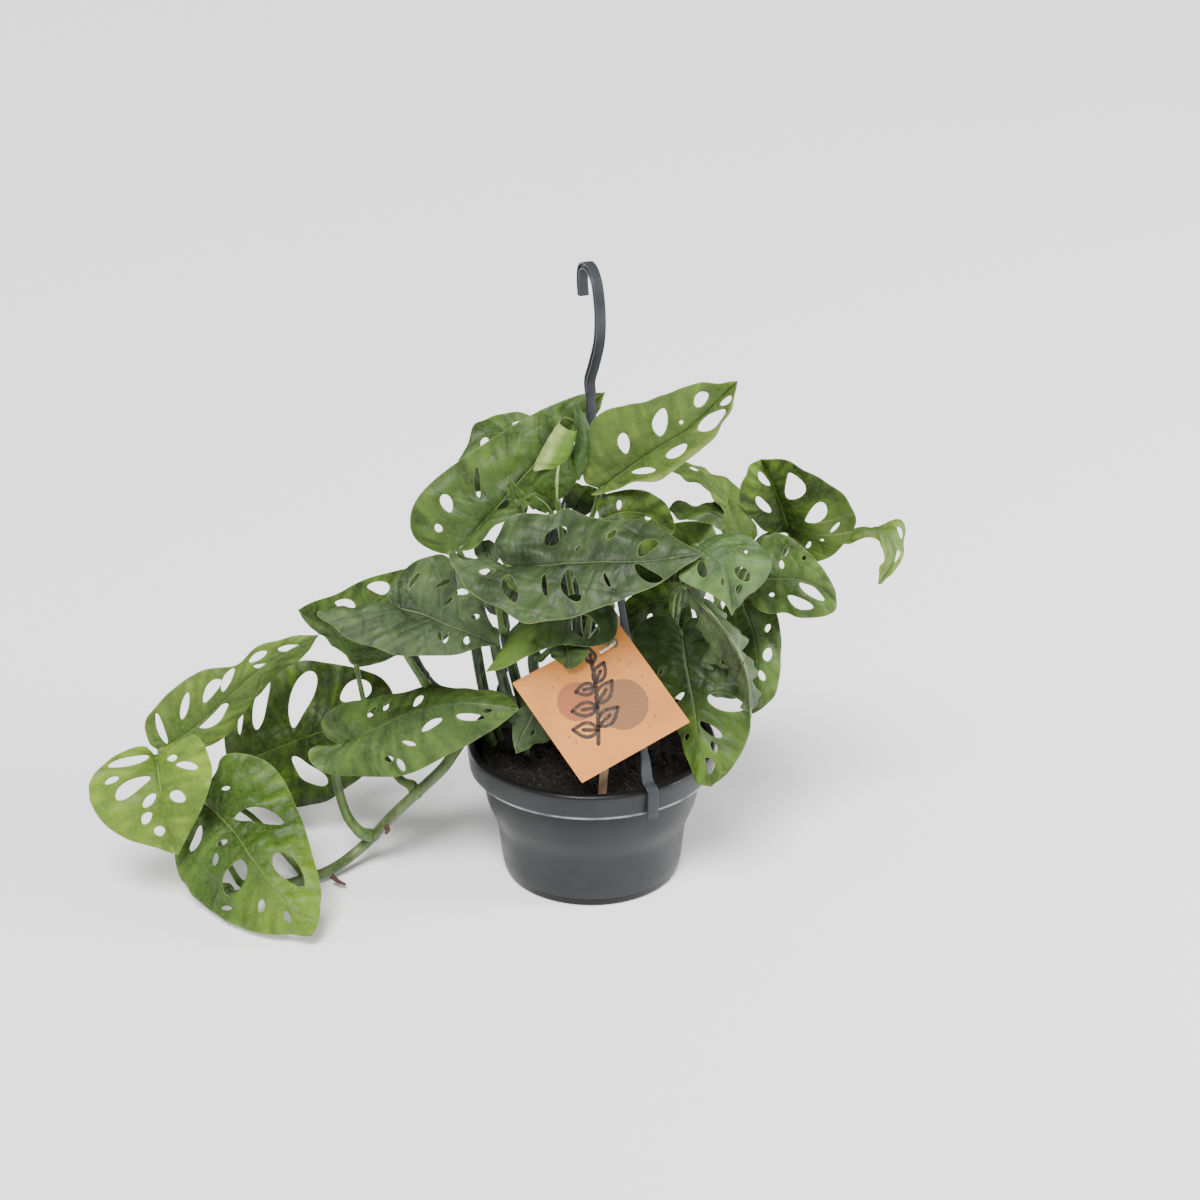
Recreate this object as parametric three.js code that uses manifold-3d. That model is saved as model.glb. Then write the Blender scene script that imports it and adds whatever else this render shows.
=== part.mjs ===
import * as THREE from "three";
import Module from "manifold-3d";

// Hanging pot of Monstera adansonii. Millimetres, +Z up, the viewer stands on the -Y side.
// The origin is on the underside of the pot, on the pot's own axis.

const wasm = await Module();
wasm.setup();
const { Manifold } = wasm;

// ---- drawing sheet ----
// Leaves, stems and the tag are drawn on a slanted sheet of sheetSize x sheetSize units, with its
// origin at the top left and v running down. A drawn point [u, v, d] is carried along the line of
// sight from the eye to the depth d, which is counted in mm from the pot's axis towards the viewer.
const eye = new THREE.Vector3(5.2, -1750, 1010);
const eyeSlope = THREE.MathUtils.degToRad(25.34);
const sheetSize = 1200;
const sheetDistance = 3225;
const sheetUnit = 0.62;

// ---- pot ----
const potHeight = 88.5;
const potSegments = 32;
const wallThickness = 1.8;
const rimTop = 76.5;
const potOutside = [
  [0, 0], [52, 0], [53.6, 1.2], [55, 6], [56, 12], [56.8, 21], [57.8, 30], [59.2, 37], [62.4, 43],
  [64.8, 49], [66.2, 58], [67.2, 71.2], [75.2, 72], [rimTop, 84], [75.8, 87.4], [74.4, potHeight],
];
const potInside = [
  [72.4, potHeight], [71.2, 87], [68.2, 80], [65.6, 72], [64.4, 58], [62.8, 49], [57.6, 37],
  [56, 30], [54.4, 12], [52, 3.2], [0, 3.2],
];

// ---- soil ----
const soilLevel = 82;
const soilGap = 0.3;
const soilSegments = 24;
const holeGap = 0.35;

// ---- hanger ----
const hookTurn = THREE.MathUtils.degToRad(68);
const hookWidth = 5.6;
const hookDepth = 4.4;
const hookGroove = 2.2;
const hookPath = [
  [-12, 371], [-13.5, 380], [-12, 388], [-6, 392], [1, 392], [7, 388], [11, 381], [14, 367],
  [12.5, 351], [5, 335], [-2, 322], [-1, 314], [0, 300], [0, 272],
];
const crownRadius = 7;
const crownHeight = 8;
const crownLevel = 266;
const strapAngles = [298, 146, 68];
const strapWidth = 5.4;
const strapDepth = 1.8;
const strapPath = [
  [8.6, 269], [40, 188], [68.5, 104], [70.2, 93.5], [72.6, 90.4], [76.2, 90.2], [78.2, 87.6],
  [78.2, 80], [77.6, 69.5],
];

// ---- tag ----
const tagCorners = [[512, 683, 57], [582, 783, 80], [690, 722, 66], [620, 625, 43]];
const tagThickness = 0.8;
const tagHole = { at: [613.5, 643], radius: 3 };
const stickFoot = [603, 784, 56];
const stickTop = [616.5, 613, 30];
const stickWidth = 5.2;
const stickDepth = 1.8;
const tieEnds = [[613.9, 642.3, 42], [613.5, 643, 47.2], [609, 646.5, 51], [600, 652, 53]];
const tieRadius = 1.3;

// ---- leaves ----
const bladeThickness = 0.7;
const marginSteps = 12;
const ribSteps = 5;
const holeCorners = 6;
const holeSwell = 0.54;
const petioleRadius = 2;
const petioleSides = 5;
const stemSides = 6;
const footGap = 0.4;

const stems = {
  vine_trailing: [
    [491, 741, -4], [485, 730, -2], [475, 729, 5], [465, 737, 13], [455, 751, 20], [443, 768, 24],
    [421, 789, 22], [393, 815, 16], [363, 846, 8], [330, 870, 22], [292, 883, 34], [258, 892, 46],
    [228, 896, 51],
  ],
  vine_slim: [[524, 752, 8], [506, 690, 14], [497, 656, 16], [493, 628, 16]],
  vine_left: [[498, 738, -10], [484, 691, -4], [476, 648, 0], [470, 615, 2]],
  vine_leaning: [
    [504, 727, -27], [500, 717, -25], [474, 703, -8], [434, 687, 14], [412, 655, 26], [404, 635, 30],
  ],
  vine_middle: [[530, 730, -20], [516, 680, -14], [506, 640, -10], [503, 600, -6], [510, 560, 0]],
  vine_front: [[556, 744, 0], [537, 684, 8], [534, 650, 12], [550, 618, 20]],
  vine_centre: [[588, 722, -30], [578, 640, -24], [573, 560, -20], [572, 515, -14]],
  vine_right: [[628, 742, -5], [652, 690, -2], [668, 640, 0], [678, 600, 2]],
  vine_back: [[640, 718, -35], [644, 709, -35], [684, 680, -24], [716, 632, -18], [745, 590, -12]],
};
const stemRadius = 3.5;
const aerialRoots = [
  [[332, 876, 30], [338, 881, 33], [346, 885, 34]],
  [[386, 826, 21], [388, 830, 24], [385, 834, 26]],
];
const rootRadius = 1.8;

// Each leaf has a rib from base to tip, two margins that leave the base and meet at the tip, and
// the tilt in degrees by which each half turns towards the viewer (+) or away from them (-).
// A hole is [u, v, long, wide, angle], its long axis turned anticlockwise from the right.
// A petiole runs from the base through its points to a place on a stem, from 0 (foot) to 1 (top);
// stalk is its radius where it is stouter than the others.
const leaves = {
  leaf_a: {
    rib: [[600, 489, 28], [649, 454, 36], [688, 429, 42], [723, 397, 44], [738, 381, 42]],
    first: [[584, 480], [584, 452], [592, 421], [615, 408], [654, 398], [690, 387], [722, 382]],
    second: [[591, 495], [612, 492], [636, 483], [660, 481], [688, 463], [714, 438], [735, 412]],
    tilt: [10, 35],
    holes: [
      [624, 442, 21, 12, 97], [661, 422, 27, 15, 78], [682, 421, 4, 4, 0], [702, 399, 17, 11, 45],
      [727, 401, 13, 7, 35], [712, 421, 32, 13, 33], [677, 452, 24, 10, 28], [644, 471, 24, 6, 6],
    ],
    petiole: [[596, 505, 24], [584, 540, 2]],
    foot: ["vine_centre", 0.72],
  },
  leaf_b: {
    rib: [[459, 550, 30], [490, 515, 22], [524, 476, 11], [562, 433, -9], [606, 392, -21]],
    first: [[437, 554], [416, 538], [411, 516], [422, 492], [456, 463], [522, 420], [575, 396]],
    second: [[474, 548], [497, 527], [523, 511], [537, 493], [562, 461], [594, 416]],
    tilt: [-10, 20],
    holes: [
      [447, 502, 19, 11, 110], [439, 527, 9, 7, 135], [478, 482, 30, 6, 95], [504, 506, 15, 9, 30],
      [516, 436, 16, 5, 80],
    ],
    petiole: [[466, 562, 24], [486, 590, 6]],
    foot: ["vine_middle", 0.8],
  },
  leaf_c: {
    rib: [[545, 452, -34], [515, 434, -34], [490, 434, -30], [468, 446, -24], [458, 461, -20]],
    first: [[548, 428], [530, 415], [506, 413], [488, 417], [476, 423], [468, 442]],
    second: [[540, 468], [515, 466], [490, 462], [472, 462]],
    tilt: [-30, 40],
    holes: [[484, 443, 11, 8, 80], [516, 424, 8, 4, 10]],
    petiole: [[556, 466, -38], [566, 500, -34]],
    foot: ["vine_centre", 0.86],
  },
  leaf_d: {
    rib: [[558, 500, 46], [562, 470, 50], [568, 435, 46], [575, 404, 36]],
    first: [[544, 500], [534, 482], [538, 455], [549, 425], [564, 410]],
    second: [[566, 500], [581, 484], [592, 458], [591, 430], [582, 412]],
    tilt: [45, 20],
    holes: [[552, 452, 5, 5, 0]],
    petiole: [[559, 514, 38], [562, 540, 14]],
    foot: ["vine_centre", 0.6],
  },
  leaf_f: {
    rib: [[505, 567, 58], [540, 566, 66], [590, 562, 74], [646, 561, 80], [704, 553, 84]],
    first: [
      [497, 550], [503, 525], [520, 513], [549, 514], [565, 508], [590, 517], [615, 524], [640, 520],
      [665, 531], [690, 546],
    ],
    second: [
      [484, 562], [447, 551], [456, 572], [470, 593], [500, 608], [524, 624], [552, 622], [590, 611],
      [640, 592], [688, 565],
    ],
    tilt: [-35, 30],
    holes: [
      [554, 535, 26, 14, 40], [577, 548, 7, 4, 45], [614, 539, 12, 5, 40], [650, 549, 24, 10, 30],
      [571, 587, 30, 18, 110], [508, 588, 25, 15, 110], [487, 573, 15, 6, 0], [544, 585, 24, 5, 95],
      [606, 581, 14, 4, 115], [647, 575, 28, 12, -25],
    ],
    petiole: [[510, 582, 46], [530, 600, 36]],
    foot: ["vine_front", 0.96],
  },
  leaf_g: {
    rib: [[396, 607, 58], [420, 613, 58], [443, 623, 56], [468, 632, 52], [500, 646, 46]],
    first: [
      [388, 598], [396, 580], [412, 562], [430, 556], [447, 554], [464, 572], [481, 597], [493, 624],
    ],
    second: [
      [372, 606], [319, 611], [331, 627], [352, 640], [374, 647], [398, 655], [430, 656], [455, 655],
      [481, 647],
    ],
    tilt: [-30, 35],
    holes: [
      [413, 581, 18, 4, 55], [441, 584, 18, 4, 25], [447, 602, 13, 4, 40], [461, 592, 13, 6, 5],
      [439, 637, 9, 4, 90], [446, 638, 12, 4, 60], [467, 640, 8, 6, 80], [477, 617, 8, 6, 20],
    ],
    petiole: [[397, 622, 50], [399, 638, 42], [406, 654, 35]],
    foot: ["vine_leaning", 0.72],
    stalk: 2.4,
  },
  leaf_h: {
    rib: [[357, 667, 8], [348, 650, 20], [333, 630, 30], [298, 610, 36]],
    first: [
      [376, 664], [412, 650], [450, 636], [457, 604], [448, 576], [428, 565], [408, 568], [366, 579],
      [336, 594], [312, 602],
    ],
    second: [[350, 662], [338, 650], [323, 637], [308, 625]],
    tilt: [-45, 20],
    holes: [[378, 588, 19, 12, -5], [345, 604, 19, 11, -10], [395, 599, 12, 5, 42]],
    petiole: [[360, 684, 0], [367, 706, -2], [388, 716, 0], [430, 710, 4]],
    foot: ["vine_leaning", 0.36],
  },
  leaf_i: {
    rib: [[345, 722, -14], [320, 732, -16], [290, 743, -18], [256, 756, -20], [229, 762, -20]],
    first: [
      [365, 716], [392, 700], [384, 680], [360, 669], [329, 663], [300, 661], [270, 672], [240, 698],
      [224, 724], [224, 748],
    ],
    second: [
      [362, 733], [372, 762], [350, 786], [325, 803], [300, 807], [272, 802], [246, 788], [232, 772],
    ],
    tilt: [-20, -10],
    holes: [
      [301, 698, 55, 21, 72], [262, 706, 46, 14, 78], [241, 721, 26, 5, 88], [356, 692, 32, 20, 20],
      [310, 771, 42, 17, -38],
    ],
    petiole: [[366, 735, -8], [388, 762, 2], [400, 779, 10], [412, 785, 18]],
    foot: ["vine_trailing", 0.342],
    stalk: 2.8,
  },
  leaf_j: {
    rib: [[341, 748, 26], [351, 740, 30], [382, 726, 36], [412, 712, 40], [460, 703, 46], [519, 709, 54]],
    first: [
      [328, 738], [321, 724], [330, 711], [350, 703], [385, 695], [435, 688], [489, 690], [512, 700],
    ],
    second: [
      [322, 744], [309, 751], [313, 765], [334, 775], [375, 777], [405, 775], [443, 758], [480, 738],
      [506, 720],
    ],
    tilt: [-50, 12],
    holes: [
      [387, 707, 8, 5, 60], [418, 701, 13, 6, 35], [373, 712, 12, 5, 50], [471, 717, 26, 8, -3],
      [432, 724, 22, 7, 30], [488, 710, 10, 4, 5], [410, 742, 14, 4, -10], [401, 765, 13, 7, -60],
      [390, 758, 8, 7, 0],
    ],
    petiole: [[335, 768, 18], [340, 795, 15], [348, 817, 15], [359, 831, 16]],
    foot: ["vine_trailing", 0.548],
    stalk: 3.3,
  },
  leaf_k: {
    rib: [[205, 802, 30], [232, 830, 52], [258, 867, 78], [288, 905, 98], [312, 936, 106]],
    first: [
      [211, 782], [220, 760], [237, 753], [264, 760], [282, 778], [296, 806], [308, 838], [321, 890],
      [318, 922],
    ],
    second: [[196, 818], [182, 841], [176, 860], [188, 889], [218, 915], [253, 931], [290, 936]],
    tilt: [-24, 0],
    holes: [
      [227, 789, 8, 4, 10], [259, 815, 50, 13, -6], [289, 869, 40, 20, -42], [197, 838, 28, 9, 62],
      [223, 843, 10, 5, 40], [218, 859, 12, 5, 80], [237, 878, 34, 18, 75],
      [227, 908, 10, 5, 0],
      [262, 906, 13, 8, 80], [287, 917, 12, 7, 120],
    ],
    petiole: [[208, 814, 18], [222, 850, 24], [238, 880, 40]],
    foot: ["vine_trailing", 0.948],
  },
  leaf_l: {
    rib: [[156, 757, 44], [160, 785, 54], [167, 820, 62], [178, 855, 62]],
    first: [
      [148, 749], [138, 744], [123, 751], [107, 762], [91, 779], [89, 800], [107, 826], [136, 842],
      [163, 850],
    ],
    second: [[168, 746], [184, 737], [197, 735], [208, 752], [211, 780], [204, 804], [190, 832]],
    tilt: [6, 5],
    holes: [
      [132, 760, 40, 9, 15], [112, 780, 14, 6, 25], [132, 786, 38, 14, 32], [150, 800, 16, 9, 45],
      [146, 818, 14, 9, 50], [160, 831, 11, 10, 0], [172, 758, 12, 6, 20], [188, 764, 20, 8, -5],
      [178, 796, 15, 12, -20],
    ],
    petiole: [[160, 772, 30], [172, 812, 24], [190, 856, 30], [212, 884, 44]],
    foot: ["vine_trailing", 0.995],
  },
  leaf_m: {
    rib: [[160, 752, 22], [197, 726, 14], [232, 693, 8], [269, 663, 4], [319, 635, 0]],
    first: [
      [149, 742], [145, 722], [157, 706], [174, 688], [202, 671], [235, 665], [258, 646], [290, 637],
    ],
    second: [[176, 750], [209, 744], [234, 729], [252, 702], [272, 682], [303, 657]],
    tilt: [-8, -20],
    holes: [
      [184, 706, 25, 8, 78], [211, 689, 26, 11, 52], [228, 679, 24, 8, 60], [257, 656, 20, 7, 28],
      [288, 648, 22, 6, 8], [161, 730, 30, 7, 112], [263, 667, 18, 5, 5], [213, 717, 34, 13, 38],
    ],
    petiole: [[168, 764, 10], [206, 791, 4], [250, 815, 8], [282, 850, 20]],
    foot: ["vine_trailing", 0.785],
  },
  leaf_n: {
    rib: [[696, 545, 70], [713, 556, 78], [726, 574, 82], [732, 616, 74]],
    first: [
      [708, 537], [729, 533], [750, 537], [766, 549], [771, 568], [766, 584], [752, 597], [737, 606],
    ],
    second: [[688, 555], [679, 576], [690, 585], [705, 592], [722, 601]],
    tilt: [-30, 20],
    holes: [
      [702, 569, 16, 10, 100], [721, 581, 8, 4, 90], [742, 574, 18, 12, -40], [738, 588, 11, 6, 75],
      [743, 550, 14, 4, -25],
    ],
    petiole: [[690, 556, 58], [684, 576, 32]],
    foot: ["vine_right", 0.97],
  },
  leaf_o: {
    rib: [[790, 536, 14], [784, 515, 22], [775, 490, 26], [761, 459, 26]],
    first: [[781, 530], [765, 531], [752, 518], [739, 500], [743, 481], [750, 466]],
    second: [
      [796, 543], [806, 554], [818, 560], [839, 550], [858, 521], [850, 503], [831, 485], [808, 470],
      [781, 461],
    ],
    tilt: [30, 25],
    holes: [
      [762, 479, 18, 7, -48], [763, 505, 23, 8, -42], [795, 485, 26, 19, 100], [820, 510, 22, 15, 45],
      [838, 525, 11, 4, 50], [811, 543, 7, 4, 60], [825, 536, 4, 3, 0],
    ],
    petiole: [[786, 550, 4], [768, 572, -6]],
    foot: ["vine_back", 0.98],
  },
  leaf_p: {
    rib: [[838, 543, 2], [860, 530, 4], [884, 532, 8], [894, 556, 12], [878, 584, 14]],
    first: [[848, 533], [866, 526], [888, 525], [901, 520], [907, 535], [898, 562], [883, 582]],
    second: [[850, 544], [866, 538], [879, 541], [883, 559], [879, 574]],
    tilt: [-30, 30],
    holes: [[901, 532, 12, 5, -60], [896, 556, 11, 3, 75]],
    petiole: [[824, 552, 0], [800, 572, -6], [770, 590, -14]],
    foot: ["vine_back", 0.92],
  },
  leaf_q: {
    rib: [[752, 579, 28], [775, 579, 34], [800, 580, 38], [820, 588, 40], [837, 602, 40]],
    first: [[750, 560], [756, 540], [771, 532], [792, 538], [806, 550], [822, 567], [834, 586]],
    second: [[750, 592], [756, 607], [769, 614], [785, 613], [800, 618], [822, 617], [835, 611]],
    tilt: [-20, 20],
    holes: [
      [781, 564, 8, 5, 100], [786, 551, 13, 5, 60], [805, 558, 5, 4, 60], [812, 591, 28, 10, -38],
      [799, 603, 26, 11, -25], [771, 595, 5, 4, 0],
    ],
    petiole: [[744, 584, 14]],
    foot: ["vine_back", 0.96],
  },
  leaf_r: {
    rib: [[748, 522, -10], [725, 500, -14], [700, 476, -14], [668, 470, -10]],
    first: [[757, 515], [744, 496], [727, 478], [712, 470], [694, 463], [676, 464]],
    second: [[742, 522], [722, 508], [700, 487], [682, 478]],
    tilt: [-55, 45],
    holes: [[694, 470, 9, 3, -10]],
    petiole: [[752, 540, -18], [746, 568, -24]],
    foot: ["vine_back", 0.87],
  },
  leaf_s: {
    rib: [[600, 520, 40], [625, 512, 36], [652, 516, 32], [676, 530, 28]],
    first: [[596, 504], [606, 494], [633, 489], [655, 496], [668, 508]],
    second: [[604, 544], [632, 555], [662, 547]],
    tilt: [-30, 20],
    holes: [[619, 505, 9, 5, 80], [648, 518, 6, 5, 0]],
    petiole: [[600, 536, 30], [596, 575, -8]],
    foot: ["vine_centre", 0.42],
  },
  leaf_t: {
    rib: [[742, 552, 30], [737, 528, 34], [728, 495, 34]],
    first: [[730, 548], [722, 530], [724, 512]],
    second: [[752, 546], [757, 532], [745, 512]],
    tilt: [20, -30],
    holes: [],
    petiole: [[740, 564, 20], [725, 590, 8]],
    foot: ["vine_right", 0.6],
  },
  leaf_u: {
    rib: [[735, 526, -4], [715, 512, -2], [690, 510, 2], [668, 510, 4]],
    first: [[738, 512], [728, 499], [712, 502], [690, 504], [678, 499]],
    second: [[728, 534], [706, 522], [682, 520]],
    tilt: [-55, 40],
    holes: [],
    petiole: [[732, 545, -6], [722, 590, -4]],
    foot: ["vine_back", 0.68],
  },
  leaf_v: {
    rib: [[681, 630, 24], [686, 665, 36], [693, 700, 48], [700, 745, 62], [711, 787, 70]],
    first: [
      [672, 617], [650, 617], [632, 634], [638, 672], [659, 705], [679, 735], [687, 760], [696, 781],
    ],
    second: [[694, 618], [716, 632], [734, 660], [745, 690], [751, 722], [744, 748], [730, 770]],
    tilt: [-30, 10],
    holes: [
      [726, 703, 34, 18, -15], [711, 730, 26, 9, -35], [714, 748, 11, 6, -70], [708, 766, 17, 11, -80],
      [708, 667, 14, 4, -25], [680, 697, 12, 6, 50], [665, 670, 10, 7, 50], [687, 736, 7, 5, 60],
    ],
    petiole: [[677, 642, 14], [670, 662, 8]],
    foot: ["vine_right", 0.35],
  },
  leaf_w: {
    rib: [[683, 584, 66], [700, 602, 74], [726, 632, 84], [746, 672, 88], [751, 719, 86]],
    first: [[678, 590], [688, 606], [703, 622], [703, 642], [712, 664], [730, 674], [740, 696]],
    second: [[696, 592], [717, 612], [740, 640], [754, 676], [756, 702]],
    tilt: [-62, -55],
    holes: [[724, 662, 8, 6, 0]],
    petiole: [[677, 590, 50], [673, 598, 26]],
    foot: ["vine_right", 0.85],
  },
  leaf_x: {
    rib: [[742, 603, -6], [752, 630, 8], [757, 660, 18], [753, 714, 26]],
    first: [[733, 600], [722, 612], [722, 640], [730, 672], [742, 700]],
    second: [[753, 598], [769, 601], [778, 617], [782, 650], [779, 682], [769, 703]],
    tilt: [-30, 0],
    holes: [[767, 655, 13, 9, 80], [762, 676, 11, 6, -60], [768, 628, 8, 5, 70]],
    petiole: [[732, 616, -8], [716, 640, -10]],
    foot: ["vine_back", 0.5],
  },
  leaf_y: {
    rib: [[612, 604, 44], [585, 603, 52], [552, 614, 60], [522, 634, 66], [486, 672, 66]],
    first: [[600, 596], [572, 596], [540, 606], [516, 624], [500, 648]],
    second: [[617, 620], [612, 640], [590, 647], [560, 645], [530, 655], [505, 668]],
    tilt: [-50, 20],
    holes: [[583, 627, 28, 22, -15]],
    petiole: [[610, 612, 32], [590, 640, 8]],
    foot: ["vine_centre", 0.38],
  },
  leaf_y2: {
    rib: [[566, 645, 54], [568, 655, 58], [571, 670, 60]],
    first: [[556, 645], [546, 652], [556, 661]],
    second: [[580, 645], [590, 650], [583, 661]],
    tilt: [-30, 10],
    holes: [],
    petiole: [[562, 642, 44], [550, 650, 24]],
    foot: ["vine_front", 0.7],
  },
  leaf_z: {
    rib: [[536, 706, 36], [529, 722, 40], [521, 738, 44], [516, 754, 46]],
    first: [[528, 702], [514, 712], [512, 734]],
    second: [[546, 716], [551, 738], [532, 746]],
    tilt: [10, -20],
    holes: [[532, 732, 6, 4, 60]],
    petiole: [[538, 702, 32], [540, 702, 20]],
    foot: ["vine_front", 0.3],
  },
  leaf_aa: {
    rib: [[690, 604, -16], [665, 600, -12], [640, 606, -8], [618, 622, -4]],
    first: [[690, 590], [672, 582], [645, 588], [625, 602]],
    second: [[690, 622], [668, 632], [645, 636], [626, 634]],
    tilt: [-30, -10],
    holes: [[650, 618, 8, 5, 60]],
    petiole: [[698, 612, -18], [698, 632, -20]],
    foot: ["vine_back", 0.4],
  },
  leaf_ab: {
    rib: [[492, 564, 22], [488, 554, 20], [481, 541, 16]],
    first: [[484, 564], [476, 556], [475, 546]],
    second: [[499, 559], [498, 548], [490, 540]],
    tilt: [20, -20],
    holes: [],
    petiole: [[494, 580, 16], [498, 605, 4]],
    foot: ["vine_middle", 0.62],
  },
  leaf_e: {
    rib: [[516, 500, 42], [512, 488, 46], [508, 476, 46]],
    first: [[509, 498], [507, 486]],
    second: [[524, 494], [516, 485]],
    tilt: [20, -20],
    holes: [],
    petiole: [[521, 510, 36], [530, 540, 18]],
    foot: ["vine_middle", 0.97],
  },
  leaf_roll: {
    rib: [[576, 512, -2], [582, 500, -1], [590, 486, 0]],
    first: [[567, 506], [564, 495], [573, 484]],
    second: [[584, 516], [597, 506], [600, 492]],
    tilt: [20, 20],
    holes: [],
    petiole: [[577, 521, -3]],
    foot: ["vine_centre", 0.9],
  },
  leaf_back_1: {
    rib: [[575, 548, -34], [574, 570, -58], [570, 605, -82], [562, 644, -96]],
    first: [[564, 528], [542, 520], [526, 542], [524, 574], [530, 602], [544, 628]],
    second: [[590, 532], [608, 530], [620, 556], [620, 584], [608, 612], [582, 636]],
    tilt: [-10, 10],
    holes: [[596, 560, 10, 6, -10], [538, 566, 8, 5, 20]],
    petiole: [[576, 560, -28]],
    foot: ["vine_centre", 0.8],
  },
  leaf_back_2: {
    rib: [[712, 562, -48], [726, 570, -68], [742, 586, -86], [754, 606, -96]],
    first: [[706, 572], [710, 588], [722, 600], [738, 607]],
    second: [[720, 550], [736, 550], [752, 560], [760, 578], [760, 594]],
    tilt: [10, -10],
    holes: [[728, 588, 12, 7, -50], [740, 564, 12, 7, 50]],
    petiole: [[711, 576, -42]],
    foot: ["vine_back", 0.79],
  },
  leaf_inner: {
    rib: [[672, 606, -22], [674, 580, -30], [690, 550, -34], [712, 523, -34]],
    first: [[652, 606], [628, 590], [622, 562], [636, 537], [680, 522]],
    second: [[688, 604], [704, 588], [714, 564], [718, 540]],
    tilt: [-20, -20],
    holes: [[690, 566, 12, 6, 20]],
    petiole: [[672, 622, -26], [672, 642, -20]],
    foot: ["vine_right", 0.55],
  },
  leaf_curl: {
    rib: [[552, 512, 30], [545, 503, 35], [532, 494, 38]],
    first: [[540, 512], [529, 506], [526, 498]],
    second: [[560, 508], [556, 498], [542, 491]],
    tilt: [10, -10],
    holes: [],
    petiole: [[545, 530, 24], [537, 556, 16], [524, 574, 6]],
    foot: ["vine_middle", 0.88],
  },
  leaf_back_3: {
    rib: [[514, 522, -32], [500, 503, -52], [484, 485, -70], [472, 466, -80]],
    first: [[498, 516], [480, 504], [466, 486], [464, 470]],
    second: [[526, 508], [520, 488], [502, 470], [484, 460]],
    tilt: [-10, 10],
    holes: [[482, 496, 12, 7, -30], [506, 482, 14, 7, -30]],
    petiole: [[510, 545, -26]],
    foot: ["vine_middle", 0.9],
  },
  leaf_back_4: {
    rib: [[516, 574, -34], [506, 584, -58], [496, 598, -78], [490, 614, -90]],
    first: [[504, 568], [486, 572], [478, 588], [480, 604]],
    second: [[528, 572], [540, 584], [536, 602], [516, 612], [502, 616]],
    tilt: [-10, 10],
    holes: [[522, 590, 12, 8, -10], [490, 586, 8, 6, 20]],
    petiole: [[514, 590, -26]],
    foot: ["vine_middle", 0.72],
  },
  leaf_back_5: {
    rib: [[700, 650, -48], [714, 660, -72], [728, 676, -92], [738, 698, -102]],
    first: [[692, 662], [696, 682], [712, 696], [728, 700]],
    second: [[710, 638], [728, 640], [744, 654], [750, 674], [746, 690]],
    tilt: [10, -10],
    holes: [[712, 680, 14, 8, -50], [731, 654, 12, 8, 50]],
    petiole: [[694, 664, -42]],
    foot: ["vine_back", 0.45],
  },
  leaf_back_6: {
    rib: [[598, 630, -50], [600, 652, -68], [606, 682, -90], [612, 708, -102]],
    first: [[584, 620], [564, 628], [556, 654], [566, 684], [590, 706]],
    second: [[612, 620], [634, 632], [644, 658], [640, 688], [626, 706]],
    tilt: [-5, 5],
    holes: [[580, 672, 16, 9, 10], [622, 672, 16, 9, -10], [588, 692, 12, 7, 20]],
    petiole: [[592, 646, -42]],
    foot: ["vine_centre", 0.34],
  },
};

// ---- geometry helpers ----
const forward = new THREE.Vector3(0, Math.cos(eyeSlope), -Math.sin(eyeSlope));
const upward = new THREE.Vector3(0, Math.sin(eyeSlope), Math.cos(eyeSlope));

function place([u, v, d]) {
  const ray = forward.clone();
  ray.x += (u - sheetSize / 2) / sheetDistance;
  ray.addScaledVector(upward, (sheetSize / 2 - v) / sheetDistance);
  return eye.clone().addScaledVector(ray, (-d - eye.y) / ray.y);
}

// Uniform Catmull-Rom through plain number rows, straight past both ends.
function spline(rows, t) {
  const last = rows.length - 1;
  const position = Math.min(Math.max(t, 0), 1) * last;
  const i = Math.min(Math.floor(position), last - 1);
  const f = position - i;
  return rows[i].map((p1, axis) => {
    const p2 = rows[i + 1][axis];
    const p0 = i > 0 ? rows[i - 1][axis] : 2 * p1 - p2;
    const p3 = i < last - 1 ? rows[i + 2][axis] : 2 * p2 - p1;
    const slope = p2 - p0;
    const bend = 2 * p0 - 5 * p1 + 4 * p2 - p3;
    const twist = 3 * p1 - 3 * p2 + p3 - p0;
    return 0.5 * (2 * p1 + slope * f + bend * f * f + twist * f * f * f);
  });
}

// Spline evaluated by its share of the drawn length.
function drawnCurve(rows) {
  const steps = 60;
  const lengths = [0];
  let before = rows[0];
  for (let i = 1; i <= steps; i += 1) {
    const point = spline(rows, i / steps);
    lengths.push(lengths[i - 1] + Math.hypot(point[0] - before[0], point[1] - before[1]));
    before = point;
  }
  return (share) => {
    const target = Math.min(Math.max(share, 0), 1) * lengths[steps];
    let i = 1;
    while (i < steps && lengths[i] < target) i += 1;
    const part = (target - lengths[i - 1]) / (lengths[i] - lengths[i - 1] || 1);
    return spline(rows, (i - 1 + part) / steps);
  };
}

function solidFrom(points, triangles) {
  const vertProperties = new Float32Array(points.flatMap((p) => [p.x, p.y, p.z]));
  const triVerts = new Uint32Array(triangles.flat());
  return new Manifold(new wasm.Mesh({ numProp: 3, vertProperties, triVerts }));
}

function solidFromGeometry(geometry) {
  const points = [];
  const keys = new Map();
  const position = geometry.getAttribute("position");
  const index = geometry.index.array;
  const remap = [];
  for (let i = 0; i < position.count; i += 1) {
    const p = new THREE.Vector3().fromBufferAttribute(position, i);
    const key = [p.x, p.y, p.z].map((value) => Math.round(value * 1e4)).join();
    if (!keys.has(key)) {
      keys.set(key, points.length);
      points.push(p);
    }
    remap.push(keys.get(key));
  }
  const triangles = [];
  for (let i = 0; i < index.length; i += 3) {
    const [a, b, c] = [remap[index[i]], remap[index[i + 1]], remap[index[i + 2]]];
    if (a !== b && b !== c && c !== a) triangles.push([a, b, c]);
  }
  return solidFrom(points, triangles);
}

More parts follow.
